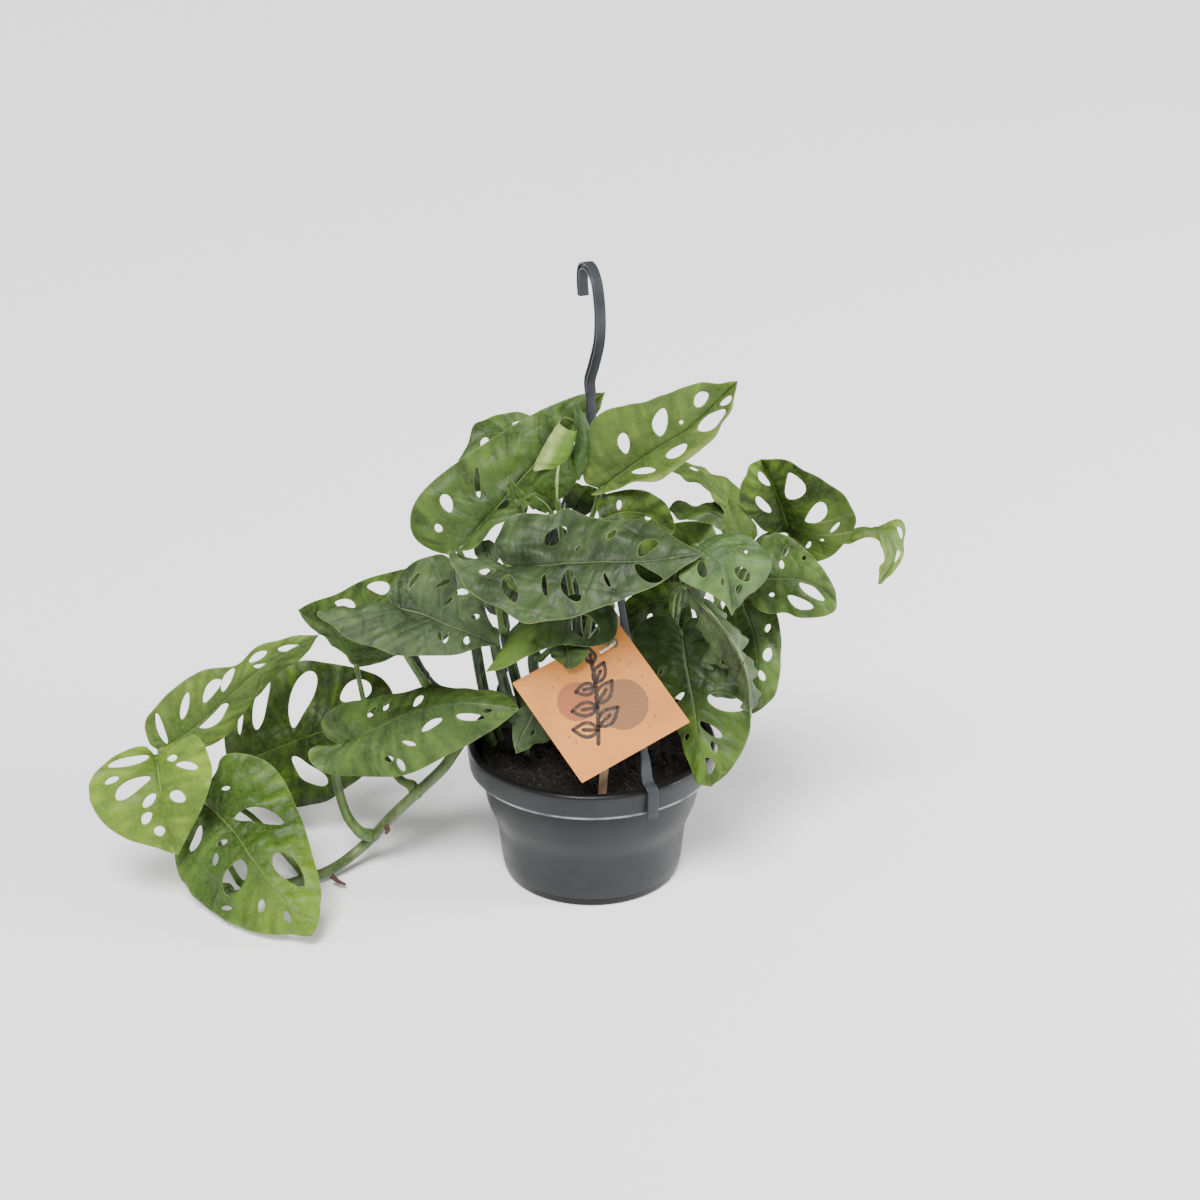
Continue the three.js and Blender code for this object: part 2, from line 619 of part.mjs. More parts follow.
function meshFrom(name, solid, colour) {
  const { vertProperties, triVerts } = solid.getMesh();
  const geometry = new THREE.BufferGeometry();
  geometry.setAttribute("position", new THREE.BufferAttribute(new Float32Array(vertProperties), 3));
  geometry.setIndex(new THREE.BufferAttribute(new Uint32Array(triVerts), 1));
  geometry.computeVertexNormals();
  const material = new THREE.MeshStandardMaterial({ color: colour, roughness: 0.6 });
  const mesh = new THREE.Mesh(geometry, material);
  mesh.name = name;
  return mesh;
}

// Closed body through rings of equal size, with a fan over each end.
function loft(rings) {
  const count = rings[0].length;
  const triangles = [];
  rings.slice(1).forEach((_, r) => {
    for (let i = 0; i < count; i += 1) {
      const [a, b] = [r * count + i, r * count + ((i + 1) % count)];
      triangles.push([a, b, b + count], [a, b + count, a + count]);
    }
  });
  const top = (rings.length - 1) * count;
  for (let i = 1; i < count - 1; i += 1) {
    triangles.push([0, i + 1, i], [top, top + i, top + i + 1]);
  }
  const solid = solidFrom(rings.flat(), triangles);
  return solid.volume() < 0 ? solidFrom(rings.flat(), triangles.map(([a, b, c]) => [a, c, b])) : solid;
}

function tube(points, radii, sides, steps) {
  const curve = new THREE.CatmullRomCurve3(points, false, "catmullrom", 0.5);
  const frames = curve.computeFrenetFrames(steps, false);
  const rings = [];
  for (let i = 0; i <= steps; i += 1) {
    const centre = curve.getPointAt(i / steps);
    const radius = THREE.MathUtils.lerp(radii[0], radii[1], i / steps);
    rings.push(Array.from({ length: sides }, (_, s) => {
      const angle = (2 * Math.PI * s) / sides;
      return centre.clone()
        .addScaledVector(frames.normals[i], radius * Math.cos(angle))
        .addScaledVector(frames.binormals[i], radius * Math.sin(angle));
    }));
  }
  return loft(rings);
}

function turned(profile, segments) {
  const points = profile.map(([r, z]) => new THREE.Vector2(r, z));
  const geometry = new THREE.LatheGeometry(points, segments);
  geometry.rotateX(Math.PI / 2);
  const solid = solidFromGeometry(geometry);
  if (solid.volume() > 0) return solid;
  const index = geometry.index.array;
  for (let i = 0; i < index.length; i += 3) {
    [index[i], index[i + 1]] = [index[i + 1], index[i]];
  }
  return solidFromGeometry(geometry);
}

// ---- leaf blades ----
// q runs from base to tip and r from rib to margin; the base of the rib serves the whole lobe.
function halfBlade(leaf, side) {
  const base = leaf.rib[0].slice(0, 2);
  const tip = leaf.rib[leaf.rib.length - 1].slice(0, 2);
  const ribCurve = drawnCurve(leaf.rib);
  const marginCurve = drawnCurve([base, ...(side === 0 ? leaf.first : leaf.second), tip]);
  const rise = sheetUnit * Math.tan(THREE.MathUtils.degToRad(leaf.tilt[side]));
  return (q, r) => {
    const rib = ribCurve(Math.max(q, 0) ** 1.5);
    const margin = marginCurve(q);
    const reach = Math.hypot(margin[0] - rib[0], margin[1] - rib[1]);
    return [
      rib[0] + (margin[0] - rib[0]) * r,
      rib[1] + (margin[1] - rib[1]) * r,
      rib[2] + reach * rise * r,
    ];
  };
}

function nearest(half, [u, v]) {
  let best = { gap: Infinity };
  for (let i = 0; i <= 94; i += 1) {
    for (let j = 0; j <= 45; j += 1) {
      const [q, r] = [0.03 + i * 0.01, 0.05 + j * 0.02];
      const point = half(q, r);
      const gap = Math.hypot(point[0] - u, point[1] - v);
      if (gap < best.gap) best = { gap, q, r };
    }
  }
  return best;
}

// A hole drawn on the sheet becomes a closed line of [q, r] pairs on the half it lies in.
function holeLine(half, { q, r }, [, , long, wide, angle], corners) {
  const step = 0.02;
  const [ahead, behind] = [half(q + step, r), half(q - step, r)];
  const [outer, inner] = [half(q, r + step), half(q, r - step)];
  const jq = [0, 1].map((axis) => (ahead[axis] - behind[axis]) / (2 * step));
  const jr = [0, 1].map((axis) => (outer[axis] - inner[axis]) / (2 * step));
  const area = jq[0] * jr[1] - jq[1] * jr[0];
  const turn = THREE.MathUtils.degToRad(angle);
  return Array.from({ length: corners }, (_, i) => {
    const around = (2 * Math.PI * i) / corners;
    const [x, y] = [holeSwell * long * Math.cos(around), holeSwell * wide * Math.sin(around)];
    const du = x * Math.cos(turn) + y * Math.sin(turn);
    const dv = y * Math.cos(turn) - x * Math.sin(turn);
    return [
      q + (du * jr[1] - dv * jr[0]) / area,
      Math.min(Math.max(r + (dv * jq[0] - du * jq[1]) / area, 0.07), 0.93),
    ];
  });
}

function bladeFaces(leaf) {
  const halves = [halfBlade(leaf, 0), halfBlade(leaf, 1)];
  const points = [];
  const add = (row) => points.push(row) - 1;
  const rib = Array.from({ length: ribSteps + 1 }, (_, i) => add(halves[0]((i / ribSteps) ** 0.7, 0)));
  const holesOf = [[], []];
  leaf.holes.forEach((hole) => {
    const found = halves.map((half) => nearest(half, hole));
    const side = found[0].gap <= found[1].gap ? 0 : 1;
    holesOf[side].push(holeLine(halves[side], found[side], hole, holeCorners));
  });
  const triangles = [];
  const edges = [];
  halves.forEach((half, side) => {
    const margin = [];
    for (let i = 1; i < marginSteps; i += 1) margin.push(add(half(i / marginSteps, 1)));
    const outline = [rib[0], ...margin, ...rib.slice(1).reverse()];
    const holes = holesOf[side].map((line) => line.map(([q, r]) => add(half(q, r))));
    const flat = (id) => new THREE.Vector2(points[id][0], -points[id][1]);
    const clockwise = THREE.ShapeUtils.isClockWise(outline.map(flat));
    const outer = clockwise ? [...outline].reverse() : outline;
    const inner = holes.map((line) => (
      THREE.ShapeUtils.isClockWise(line.map(flat)) ? line : [...line].reverse()
    ));
    const ids = [...outer, ...inner.flat()];
    THREE.ShapeUtils.triangulateShape(outer.map(flat), inner.map((line) => line.map(flat)))
      .forEach((triangle) => triangles.push(triangle.map((k) => ids[k])));
    const open = [rib[0], ...margin, rib[ribSteps]];
    const rim = clockwise ? [...open].reverse() : open;
    rim.slice(1).forEach((id, i) => edges.push([rim[i], id]));
    inner.forEach((line) => line.forEach((id, i) => edges.push([id, line[(i + 1) % line.length]])));
  });
  return { points: points.map(place), triangles, edges };
}

function bladeSolid(leaf) {
  const { points, triangles, edges } = bladeFaces(leaf);
  const normals = points.map(() => new THREE.Vector3());
  triangles.forEach(([a, b, c]) => {
    const across = points[b].clone().sub(points[a]).cross(points[c].clone().sub(points[a]));
    [a, b, c].forEach((id) => normals[id].add(across));
  });
  const shifted = (sign) => points.map((p, i) => (
    p.clone().addScaledVector(normals[i].clone().normalize(), (sign * bladeThickness) / 2)
  ));
  const count = points.length;
  const faces = [
    ...triangles,
    ...triangles.map(([a, b, c]) => [a + count, c + count, b + count]),
    ...edges.flatMap(([a, b]) => [[a, a + count, b + count], [a, b + count, b]]),
  ];
  return solidFrom([...shifted(1), ...shifted(-1)], faces);
}

const stemCurves = Object.fromEntries(Object.entries(stems).map(([name, rows]) => (
  [name, new THREE.CatmullRomCurve3(rows.map(place), false, "catmullrom", 0.5)]
)));

function petioleSolid(leaf) {
  const base = place(leaf.rib[0]);
  const inside = place(halfBlade(leaf, 0)(0.12, 0));
  const path = [inside, base, ...leaf.petiole.map(place)];
  const [stem, share] = leaf.foot;
  const radius = leaf.stalk ?? petioleRadius;
  const node = stemCurves[stem].getPointAt(share);
  const along = stemCurves[stem].getTangentAt(share);
  const out = path[path.length - 1].clone().sub(node);
  out.addScaledVector(along, -out.dot(along)).normalize();
  path.push(node.clone().addScaledVector(out, stemRadius + footGap + 2.4));
  path.push(node.clone().addScaledVector(out, stemRadius + footGap));
  const steps = 3 + 2 * leaf.petiole.length;
  return tube(path, [radius * 0.8, radius * 1.2], petioleSides, steps);
}

// ---- build ----
const group = new THREE.Group();

const potSolid = turned([...potOutside, ...potInside], potSegments);
group.add(meshFrom("pot", potSolid, 0x58595b));

let soilSolid = turned([
  [0, 3.5], [51.4, 3.5], [53.8, 12], [55.4, 30], [57, 37.2], [62.2, 49.2], [63.8, 58], [65, 72],
  [67.4, 79.6], [67.9, soilLevel - 1.4], [52, soilLevel + 0.4], [26, soilLevel - 0.6], [0, soilLevel],
], soilSegments);

const stemNames = Object.keys(stems);
const stemSolids = stemNames.map((name) => {
  const curve = stemCurves[name];
  const points = curve.getSpacedPoints(name === "vine_trailing" ? 16 : 5);
  const foot = points[0].clone();
  foot.z = soilLevel - 7;
  const steps = name === "vine_trailing" ? 20 : 7;
  return tube([foot, ...points], [stemRadius, stemRadius * 0.92], stemSides, steps);
});
stemNames.forEach((name) => {
  const start = stemCurves[name].getPointAt(0);
  const well = Manifold.cylinder(30, stemRadius + 3, stemRadius + 3, 10)
    .translate([start.x, start.y, soilLevel - 8]);
  soilSolid = soilSolid.subtract(well);
});

const stickLine = [place(stickFoot), place(stickTop)];
const stickAim = stickLine[1].clone().sub(stickLine[0]).normalize();
stickLine[0].addScaledVector(stickAim, (soilLevel - 14 - stickLine[0].z) / stickAim.z);
const stickSide = new THREE.Vector3(1, 0, 0).addScaledVector(stickAim, -stickAim.x).normalize();
const stickFace = stickSide.clone().cross(stickAim).normalize();
const bar = (width, depth) => stickLine.map((p) => [[-1, -1], [1, -1], [1, 1], [-1, 1]].map(([a, b]) => (
  p.clone().addScaledVector(stickSide, (a * width) / 2).addScaledVector(stickFace, (b * depth) / 2)
)));
soilSolid = soilSolid.subtract(loft(bar(stickWidth + 2 * holeGap, stickDepth + 2 * holeGap)));
group.add(meshFrom("soil", soilSolid, 0x17100c));
const stickSolid = loft(bar(stickWidth, stickDepth)).trimByPlane([0, 0, 1], soilLevel - 13);
group.add(meshFrom("tag_stick", stickSolid, 0xe3d2b0));

stemNames.forEach((name, i) => group.add(meshFrom(name, stemSolids[i], 0x5e7d45)));
aerialRoots.forEach((rows, i) => {
  const solid = tube(rows.map(place), [rootRadius, rootRadius * 0.6], 6, 4);
  group.add(meshFrom(`aerial_root_${i + 1}`, solid, 0x7a4a35));
});

// Hook: a grooved strip swept in its own upright plane, with the crown under it.
const hookAcross = new THREE.Vector3(Math.cos(hookTurn), -Math.sin(hookTurn), 0);
const hookBroad = new THREE.Vector3(Math.sin(hookTurn), Math.cos(hookTurn), 0);
const grooveHalf = (0.5 * hookGroove) / hookWidth;
const hookSection = [
  [-0.5, -0.5], [0.5, -0.5], [0.5, 0.5], [grooveHalf, 0.5], [grooveHalf, 0.22], [-grooveHalf, 0.22],
  [-grooveHalf, 0.5], [-0.5, 0.5],
];
const hookRings = hookPath.map(([s, z], i) => {
  const before = hookPath[Math.max(i - 1, 0)];
  const after = hookPath[Math.min(i + 1, hookPath.length - 1)];
  const along = new THREE.Vector2(after[0] - before[0], after[1] - before[1]).normalize();
  const side = new THREE.Vector2(-along.y, along.x);
  return hookSection.map(([a, b]) => {
    const centre = hookAcross.clone().multiplyScalar(s + side.x * b * hookDepth);
    centre.z = z + side.y * b * hookDepth;
    return centre.addScaledVector(hookBroad, a * hookWidth);
  });
});
const crown = Manifold.cylinder(crownHeight, crownRadius, crownRadius, 12).translate([0, 0, crownLevel]);
group.add(meshFrom("hanger_hook", loft(hookRings).add(crown), 0x4b4d50));

strapAngles.forEach((degrees, index) => {
  const angle = THREE.MathUtils.degToRad(degrees);
  const outward = new THREE.Vector3(Math.cos(angle), Math.sin(angle), 0);
  const sideways = new THREE.Vector3(-Math.sin(angle), Math.cos(angle), 0);
  const rings = strapPath.map(([r, z], i) => {
    const before = strapPath[Math.max(i - 1, 0)];
    const after = strapPath[Math.min(i + 1, strapPath.length - 1)];
    const along = new THREE.Vector2(after[0] - before[0], after[1] - before[1]).normalize();
    const width = strapWidth * (i < 2 ? 0.62 : i < 4 ? 0.8 : 1.3);
    return [[-1, -1], [1, -1], [1, 1], [-1, 1]].map(([a, b]) => {
      const point = outward.clone().multiplyScalar(r + (along.y * b * strapDepth) / 2);
      point.z = z - (along.x * b * strapDepth) / 2;
      return point.addScaledVector(sideways, (a * width) / 2);
    });
  });
  group.add(meshFrom(`hanger_strap_${index + 1}`, loft(rings), 0x4b4d50));
});

// Tag card with its hole, and the tie that holds it to the stick.
const corners = tagCorners.map(place);
const tagNormal = corners[2].clone().sub(corners[0])
  .cross(corners[3].clone().sub(corners[1])).normalize();
const tagCentre = corners.reduce((sum, p) => sum.add(p), new THREE.Vector3()).divideScalar(4);
corners.forEach((p) => p.addScaledVector(tagNormal, tagCentre.clone().sub(p).dot(tagNormal)));
const card = loft([-0.5, 0.5].map((side) => (
  corners.map((p) => p.clone().addScaledVector(tagNormal, side * tagThickness))
)));
const holeRay = place([...tagHole.at, 0]).sub(eye).normalize();
const holeReach = tagCentre.clone().sub(eye).dot(tagNormal) / holeRay.dot(tagNormal);
const holeAt = eye.clone().addScaledVector(holeRay, holeReach);
const punch = loft([-4, 4].map((side) => Array.from({ length: 10 }, (_, i) => {
  const around = (2 * Math.PI * i) / 10;
  const acrossCard = corners[2].clone().sub(corners[1]).normalize();
  const upCard = tagNormal.clone().cross(acrossCard);
  return holeAt.clone().addScaledVector(tagNormal, side)
    .addScaledVector(acrossCard, tagHole.radius * Math.cos(around))
    .addScaledVector(upCard, tagHole.radius * Math.sin(around));
})));
group.add(meshFrom("tag_card", card.subtract(punch), 0xd19c68));
group.add(meshFrom("tag_tie", tube(tieEnds.map(place), [tieRadius, tieRadius], 5, 6), 0xe8ddc4));

Object.entries(leaves).forEach(([name, leaf]) => {
  group.add(meshFrom(name, bladeSolid(leaf).add(petioleSolid(leaf)), 0x5c7f45));
});

export default group;
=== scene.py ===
import math
import bmesh
import bpy
import numpy as np
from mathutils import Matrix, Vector
from mathutils.geometry import delaunay_2d_cdt


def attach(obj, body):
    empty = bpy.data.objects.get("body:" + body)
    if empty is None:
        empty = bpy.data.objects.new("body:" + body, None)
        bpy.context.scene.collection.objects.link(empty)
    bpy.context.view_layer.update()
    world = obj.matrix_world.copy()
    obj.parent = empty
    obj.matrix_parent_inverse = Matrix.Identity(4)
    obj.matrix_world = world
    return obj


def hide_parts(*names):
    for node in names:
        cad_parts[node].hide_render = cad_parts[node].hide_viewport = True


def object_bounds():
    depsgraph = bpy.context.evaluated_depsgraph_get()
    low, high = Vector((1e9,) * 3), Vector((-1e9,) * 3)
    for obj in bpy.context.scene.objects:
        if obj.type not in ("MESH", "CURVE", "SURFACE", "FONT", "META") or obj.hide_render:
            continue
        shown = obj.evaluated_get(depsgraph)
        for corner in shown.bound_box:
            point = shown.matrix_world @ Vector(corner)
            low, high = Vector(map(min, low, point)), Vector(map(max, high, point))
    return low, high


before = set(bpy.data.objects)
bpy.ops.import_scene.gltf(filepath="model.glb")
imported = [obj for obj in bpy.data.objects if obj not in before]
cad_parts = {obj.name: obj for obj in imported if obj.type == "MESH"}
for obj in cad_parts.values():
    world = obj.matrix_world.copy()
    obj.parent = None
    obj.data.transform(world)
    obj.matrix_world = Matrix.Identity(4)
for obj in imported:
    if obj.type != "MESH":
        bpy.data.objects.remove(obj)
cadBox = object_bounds()
print("frame loaded")

# Leaves, stems and tag are drawn on a slanted 1200 x 1200 sheet seen from the eye, as in the part:
# a drawn point [u, v, d] lies on the line of sight through (u, v), d mm in front of the pot's axis.
view = {"eye": (5.2, -1750, 1010), "slope": 25.34, "sheet": 1200, "distance": 3225, "sensor": 36}
eye = np.array(view["eye"], float)
slope = math.radians(view["slope"])
forward = np.array([0, math.cos(slope), -math.sin(slope)])
upward = np.array([0, math.sin(slope), math.cos(slope)])
nothing = 1e-9  # keeps a division from failing


def addToScene(name, data):
    added = bpy.data.objects.new(name, data)
    bpy.context.scene.collection.objects.link(added)
    return added


camera = addToScene("camera", bpy.data.cameras.new("camera"))
camera.location = eye / 1000
camera.rotation_euler = (math.pi / 2 - slope, 0, 0)
camera.data.sensor_width = view["sensor"]
camera.data.lens = view["sensor"] * view["distance"] / view["sheet"]
bpy.context.scene.camera = camera


def place(rows):
    # drawn points as points in mm
    rows = np.asarray(rows, float)
    ray = forward + (view["sheet"] / 2 - rows[..., 1:2]) / view["distance"] * upward
    ray[..., 0] += (rows[..., 0] - view["sheet"] / 2) / view["distance"]
    return eye + ray * ((-rows[..., 2] - eye[1]) / ray[..., 1])[..., None]


def spline(rows, t):
    # smooth curve through all rows, with t from 0 to 1
    rows = np.asarray(rows, float)
    last = len(rows) - 1
    position = np.clip(np.asarray(t, float), 0, 1) * last
    i = np.minimum(position.astype(int), last - 1)
    f = (position - i)[..., None]
    padded = np.vstack([2 * rows[0] - rows[1], rows, 2 * rows[-1] - rows[-2]])
    p0, p1, p2, p3 = padded[i], padded[i + 1], padded[i + 2], padded[i + 3]
    bend = 2 * p0 - 5 * p1 + 4 * p2 - p3
    twist = 3 * p1 - 3 * p2 + p3 - p0
    return 0.5 * (2 * p1 + (p2 - p0) * f + bend * f * f + twist * f * f * f)


def drawnCurve(rows, axes=2, steps=60):
    # spline by its share of the drawn length
    even = np.linspace(0, 1, steps + 1)
    gaps = np.linalg.norm(np.diff(spline(rows, even)[:, :axes], axis=0), axis=1)
    lengths = np.concatenate([[0], np.cumsum(gaps)])

    def at(share):
        return spline(rows, np.interp(np.clip(share, 0, 1) * lengths[-1], lengths, even))
    return at


def smooth(low, high, value):
    t = np.clip((value - low) / (high - low), 0, 1)
    return t * t * (3 - 2 * t)


def unit(rows):
    # each row at length 1
    return rows / np.maximum(np.linalg.norm(rows, axis=-1, keepdims=True), nothing)


def lineLength(points):
    return float(np.linalg.norm(np.diff(points, axis=0), axis=1).sum())


def around(count):
    return np.linspace(0, 2 * math.pi, count, endpoint=False)


def circle(centre, radius, count):
    angle = around(count)
    return np.asarray(centre) + radius * np.stack([np.cos(angle), np.sin(angle)], axis=1)


def meshGrid(first, second):
    return np.stack(np.meshgrid(first, second, indexing="ij"), axis=-1).reshape(-1, 2)


def sideOf(line):
    # the direction at right angles to a 2-D line, at each of its points
    along = unit(np.gradient(line, axis=0))
    return np.stack([-along[:, 1], along[:, 0]], axis=1)


def makePiece(name, shape, materials, nodes=(), faceMaterial=None, smoothShade=True):
    # shape is points in mm and faces; nodes are the solids that the piece takes the place of
    points, faces = shape
    mesh = bpy.data.meshes.new(name)
    mesh.from_pydata((np.asarray(points) / 1000).tolist(), [], [list(map(int, f)) for f in faces])
    for material in materials:
        mesh.materials.append(material)
    if faceMaterial is not None:
        mesh.polygons.foreach_set("material_index", np.asarray(faceMaterial, np.int32))
    mesh.polygons.foreach_set("use_smooth", np.full(len(mesh.polygons), smoothShade))
    mesh.update()
    piece = addToScene(name, mesh)
    if nodes:
        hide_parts(*nodes)
    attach(piece, "root")
    return piece


def joined(*meshes):
    # several meshes as one
    points, faces = [], []
    for morePoints, moreFaces in meshes:
        faces += [[i + len(points) for i in face] for face in moreFaces]
        points += np.asarray(morePoints).tolist()
    return points, faces


def loft(rings):
    # quads between rings of equal size, with a fan over each end
    rings = np.asarray(rings, float)
    count, sides = rings.shape[:2]
    i = np.arange(sides)
    j = (i + 1) % sides
    faces = []
    for a in range(0, (count - 1) * sides, sides):
        b = a + sides
        faces += np.stack([a + i, a + j, b + j, b + i], axis=1).tolist()
    low, high = count * sides, count * sides + 1
    top = low - sides
    faces += [[low, b, a] for a, b in zip(i, j)]
    faces += [[high, top + a, top + b] for a, b in zip(i, j)]
    return np.vstack([rings.reshape(-1, 3), rings[0].mean(axis=0), rings[-1].mean(axis=0)]), faces


def swept(section, centres, across, through):
    # one section along a path; across and through are its two axes at each point, with their sizes
    a, b = section.T[:, None, :, None]
    return loft(centres[:, None] + a * across[:, None] + b * through[:, None])


def turned(profile, segments):
    # rings round +Z from a profile of (radius, height) that starts and ends on the axis
    angle = around(segments)
    radius, height = np.asarray(profile, float)[1:-1, :, None].transpose(1, 0, 2)
    rings = [radius * np.cos(angle), radius * np.sin(angle), height + 0 * angle]
    points, faces = loft(np.stack(rings, axis=2))
    points[-2:] = [(0, 0, profile[0][1]), (0, 0, profile[-1][1])]
    return points, faces


def framesAlong(points):
    # side and top at each point of a path, carried along with no twist
    tangents = unit(np.gradient(np.asarray(points, float), axis=0))
    side = np.cross(tangents[0], [0, 0, 1] if abs(tangents[0][2]) < 0.9 else [0, 1, 0])
    sides = []
    for tangent in tangents:
        side = unit(side - tangent * side.dot(tangent))
        sides.append(side)
    sides = np.array(sides)
    return sides, np.cross(sides, tangents)


def tube(points, radii, sides=14):
    # radii is one number per point, or one per point and side
    side, top = framesAlong(points)
    angle = around(sides)[None, :, None]
    ring = np.cos(angle) * side[:, None, :] + np.sin(angle) * top[:, None, :]
    radii = np.asarray(radii, float).reshape(len(points), -1)
    return loft(np.asarray(points)[:, None, :] + ring * radii[:, :, None])


def filleted(points, radius, steps=3, closed=False):
    # each corner of a 2-D line becomes a short curve
    points = np.asarray(points, float)
    out = []
    for i, p in enumerate(points):
        if not closed and i in (0, len(points) - 1):
            out.append(p)
            continue
        before, after = points[i - 1] - p, points[(i + 1) % len(points)] - p
        a, b = [p + unit(way) * min(radius, np.linalg.norm(way) * 0.45) for way in (before, after)]
        for t in np.arange(steps + 1) / steps:
            out.append(a * (1 - t) ** 2 + p * 2 * t * (1 - t) + b * t * t)
    return np.array(out)


def evenly(points, gap):
    # more points on a line, so that none are further apart than the gap
    line = []
    for a, b in zip(points[:-1], points[1:]):
        steps = max(1, int(np.linalg.norm(b - a) / gap))
        line += [a + (b - a) * k / steps for k in range(steps)]
    return np.array(line + [points[-1]])


def insideLine(points, line):
    # which 2-D points lie inside a closed line
    x, y = points[:, 0:1], points[:, 1:2]
    x0, y0 = line[:, 0], line[:, 1]
    x1, y1 = np.roll(x0, -1), np.roll(y0, -1)
    crosses = (y0 > y) != (y1 > y)
    step = np.where(y1 == y0, nothing, y1 - y0)
    return (crosses & (x < (x1 - x0) * (y - y0) / step + x0)).sum(axis=1) % 2 == 1


def distanceToLine(points, line):
    along = np.roll(line, -1, axis=0) - line
    share = ((points[:, None, :] - line) * along).sum(axis=2) / np.maximum((along ** 2).sum(axis=1), nothing)
    near = line + np.clip(share, 0, 1)[:, :, None] * along
    return np.linalg.norm(points[:, None, :] - near, axis=2).min(axis=1)


def cutSheet(grid, outline, holes, clearance):
    # triangles over a flat outline with holes, using the grid points that keep clear of every edge
    def isSolid(points):
        solid = insideLine(points, outline)
        for hole in holes:
            solid &= ~insideLine(points, hole)
        return solid

    lines = [outline] + list(holes)
    keep = isSolid(grid)
    for line in lines:
        keep &= distanceToLine(grid, line) > clearance
    edges, start = [], 0
    for line in lines:
        ids = np.arange(len(line))
        edges += np.stack([start + ids, start + np.roll(ids, -1)], axis=1).tolist()
        start += len(line)
    found = delaunay_2d_cdt([Vector(p) for p in np.vstack(lines + [grid[keep]])], edges, [], 0, 1e-7)
    flat = np.array([v[:] for v in found[0]])
    faces = np.array(found[2])
    faces = faces[isSolid(flat[faces].mean(axis=1))]
    (ax, ay), (bx, by), (cx, cy) = flat[faces].transpose(1, 2, 0)
    area = (bx - ax) * (cy - ay) - (by - ay) * (cx - ax)
    faces, area = faces[np.abs(area) > nothing], area[np.abs(area) > nothing]
    faces[area < 0] = faces[area < 0][:, ::-1]
    return flat, faces


def openEdges(faces):
    # directed edges that only one face uses
    corners = faces.shape[1]
    edges = np.vstack([faces[:, [k, (k + 1) % corners]] for k in range(corners)])
    _, index, count = np.unique(np.sort(edges, axis=1), axis=0, return_index=True, return_counts=True)
    return edges[index[count == 1]]


def shell(upper, lower, faces):
    # a thin closed sheet: both skins, and a wall along every open edge
    count = len(upper)
    skin = np.vstack([faces, faces[:, ::-1] + count]).tolist()
    skin += [[b, a, a + count, b + count] for a, b in openEdges(faces).tolist()]
    return np.vstack([upper, lower]), skin


def linear(hexText):
    parts = [int(hexText[i:i + 2], 16) / 255 for i in (1, 3, 5)]
    return [c / 12.92 if c <= 0.04045 else ((c + 0.055) / 1.055) ** 2.4 for c in parts] + [1]


def addNode(tree, kind, inputs=(), **settings):
    # inputs go by name, or in the order of the node's open sockets, and a socket among them is linked;
    # gives back the node's first open output
    node = tree.nodes.new(kind)
    for key, value in settings.items():
        setattr(node, key, value)
    if isinstance(inputs, dict):
        pairs = [(node.inputs[key], value) for key, value in inputs.items()]
    else:
        pairs = zip([s for s in node.inputs if s.enabled], inputs)
    for socket, value in pairs:
        if isinstance(value, bpy.types.NodeSocket):
            tree.links.new(value, socket)
        else:
            socket.default_value = value
    return next((s for s in node.outputs if s.enabled), None)


def newMaterial(name):
    material = bpy.data.materials.new(name)
    material.use_nodes = True
    material.node_tree.nodes.clear()
    return material, material.node_tree


def objectPlace(tree):
    return addNode(tree, "ShaderNodeTexCoord").node.outputs["Object"]


def unevenness(tree, size, detail=2.0, rough=0.5, stretch=(1, 1, 1), vector=None, distortion=0.0):
    # clouded pattern; size is the real width of one lump in mm
    laid = addNode(tree, "ShaderNodeMapping", {"Vector": vector or objectPlace(tree), "Scale": stretch})
    return addNode(tree, "ShaderNodeTexNoise", {"Vector": laid, "Scale": 1000 / size, "Detail": detail,
                                                "Roughness": rough, "Distortion": distortion})


def amount(tree, *parts):
    # parts multiplied; a part (source, low, high, start, end) is eased from start to end
    total = None
    for part in parts:
        if isinstance(part, tuple):
            part = addNode(tree, "ShaderNodeMapRange", part, interpolation_type="SMOOTHSTEP")
        if total is not None:
            part = addNode(tree, "ShaderNodeMath", (total, part), operation="MULTIPLY")
        total = part
    return total


def over(tree, below, colour, *parts):
    # a hex colour over what is below, in the amount that the parts give
    below = linear(below) if isinstance(below, str) else below
    return addNode(tree, "ShaderNodeMix", (amount(tree, *parts), below, linear(colour)), data_type="RGBA")


def surfaceOf(tree, colour, rough, relief, **more):
    # relief is pairs of height and depth in mm, the broadest first
    normal = {}
    for height, depth in relief:
        bumped = addNode(tree, "ShaderNodeBump", {"Height": height, "Distance": depth / 1000, **normal})
        normal = {"Normal": bumped}
    inputs = {"Base Color": colour, "Roughness": rough, **normal, **more}
    return addNode(tree, "ShaderNodeBsdfPrincipled", inputs)


def finish(tree, surface):
    addNode(tree, "ShaderNodeOutputMaterial", {"Surface": surface})


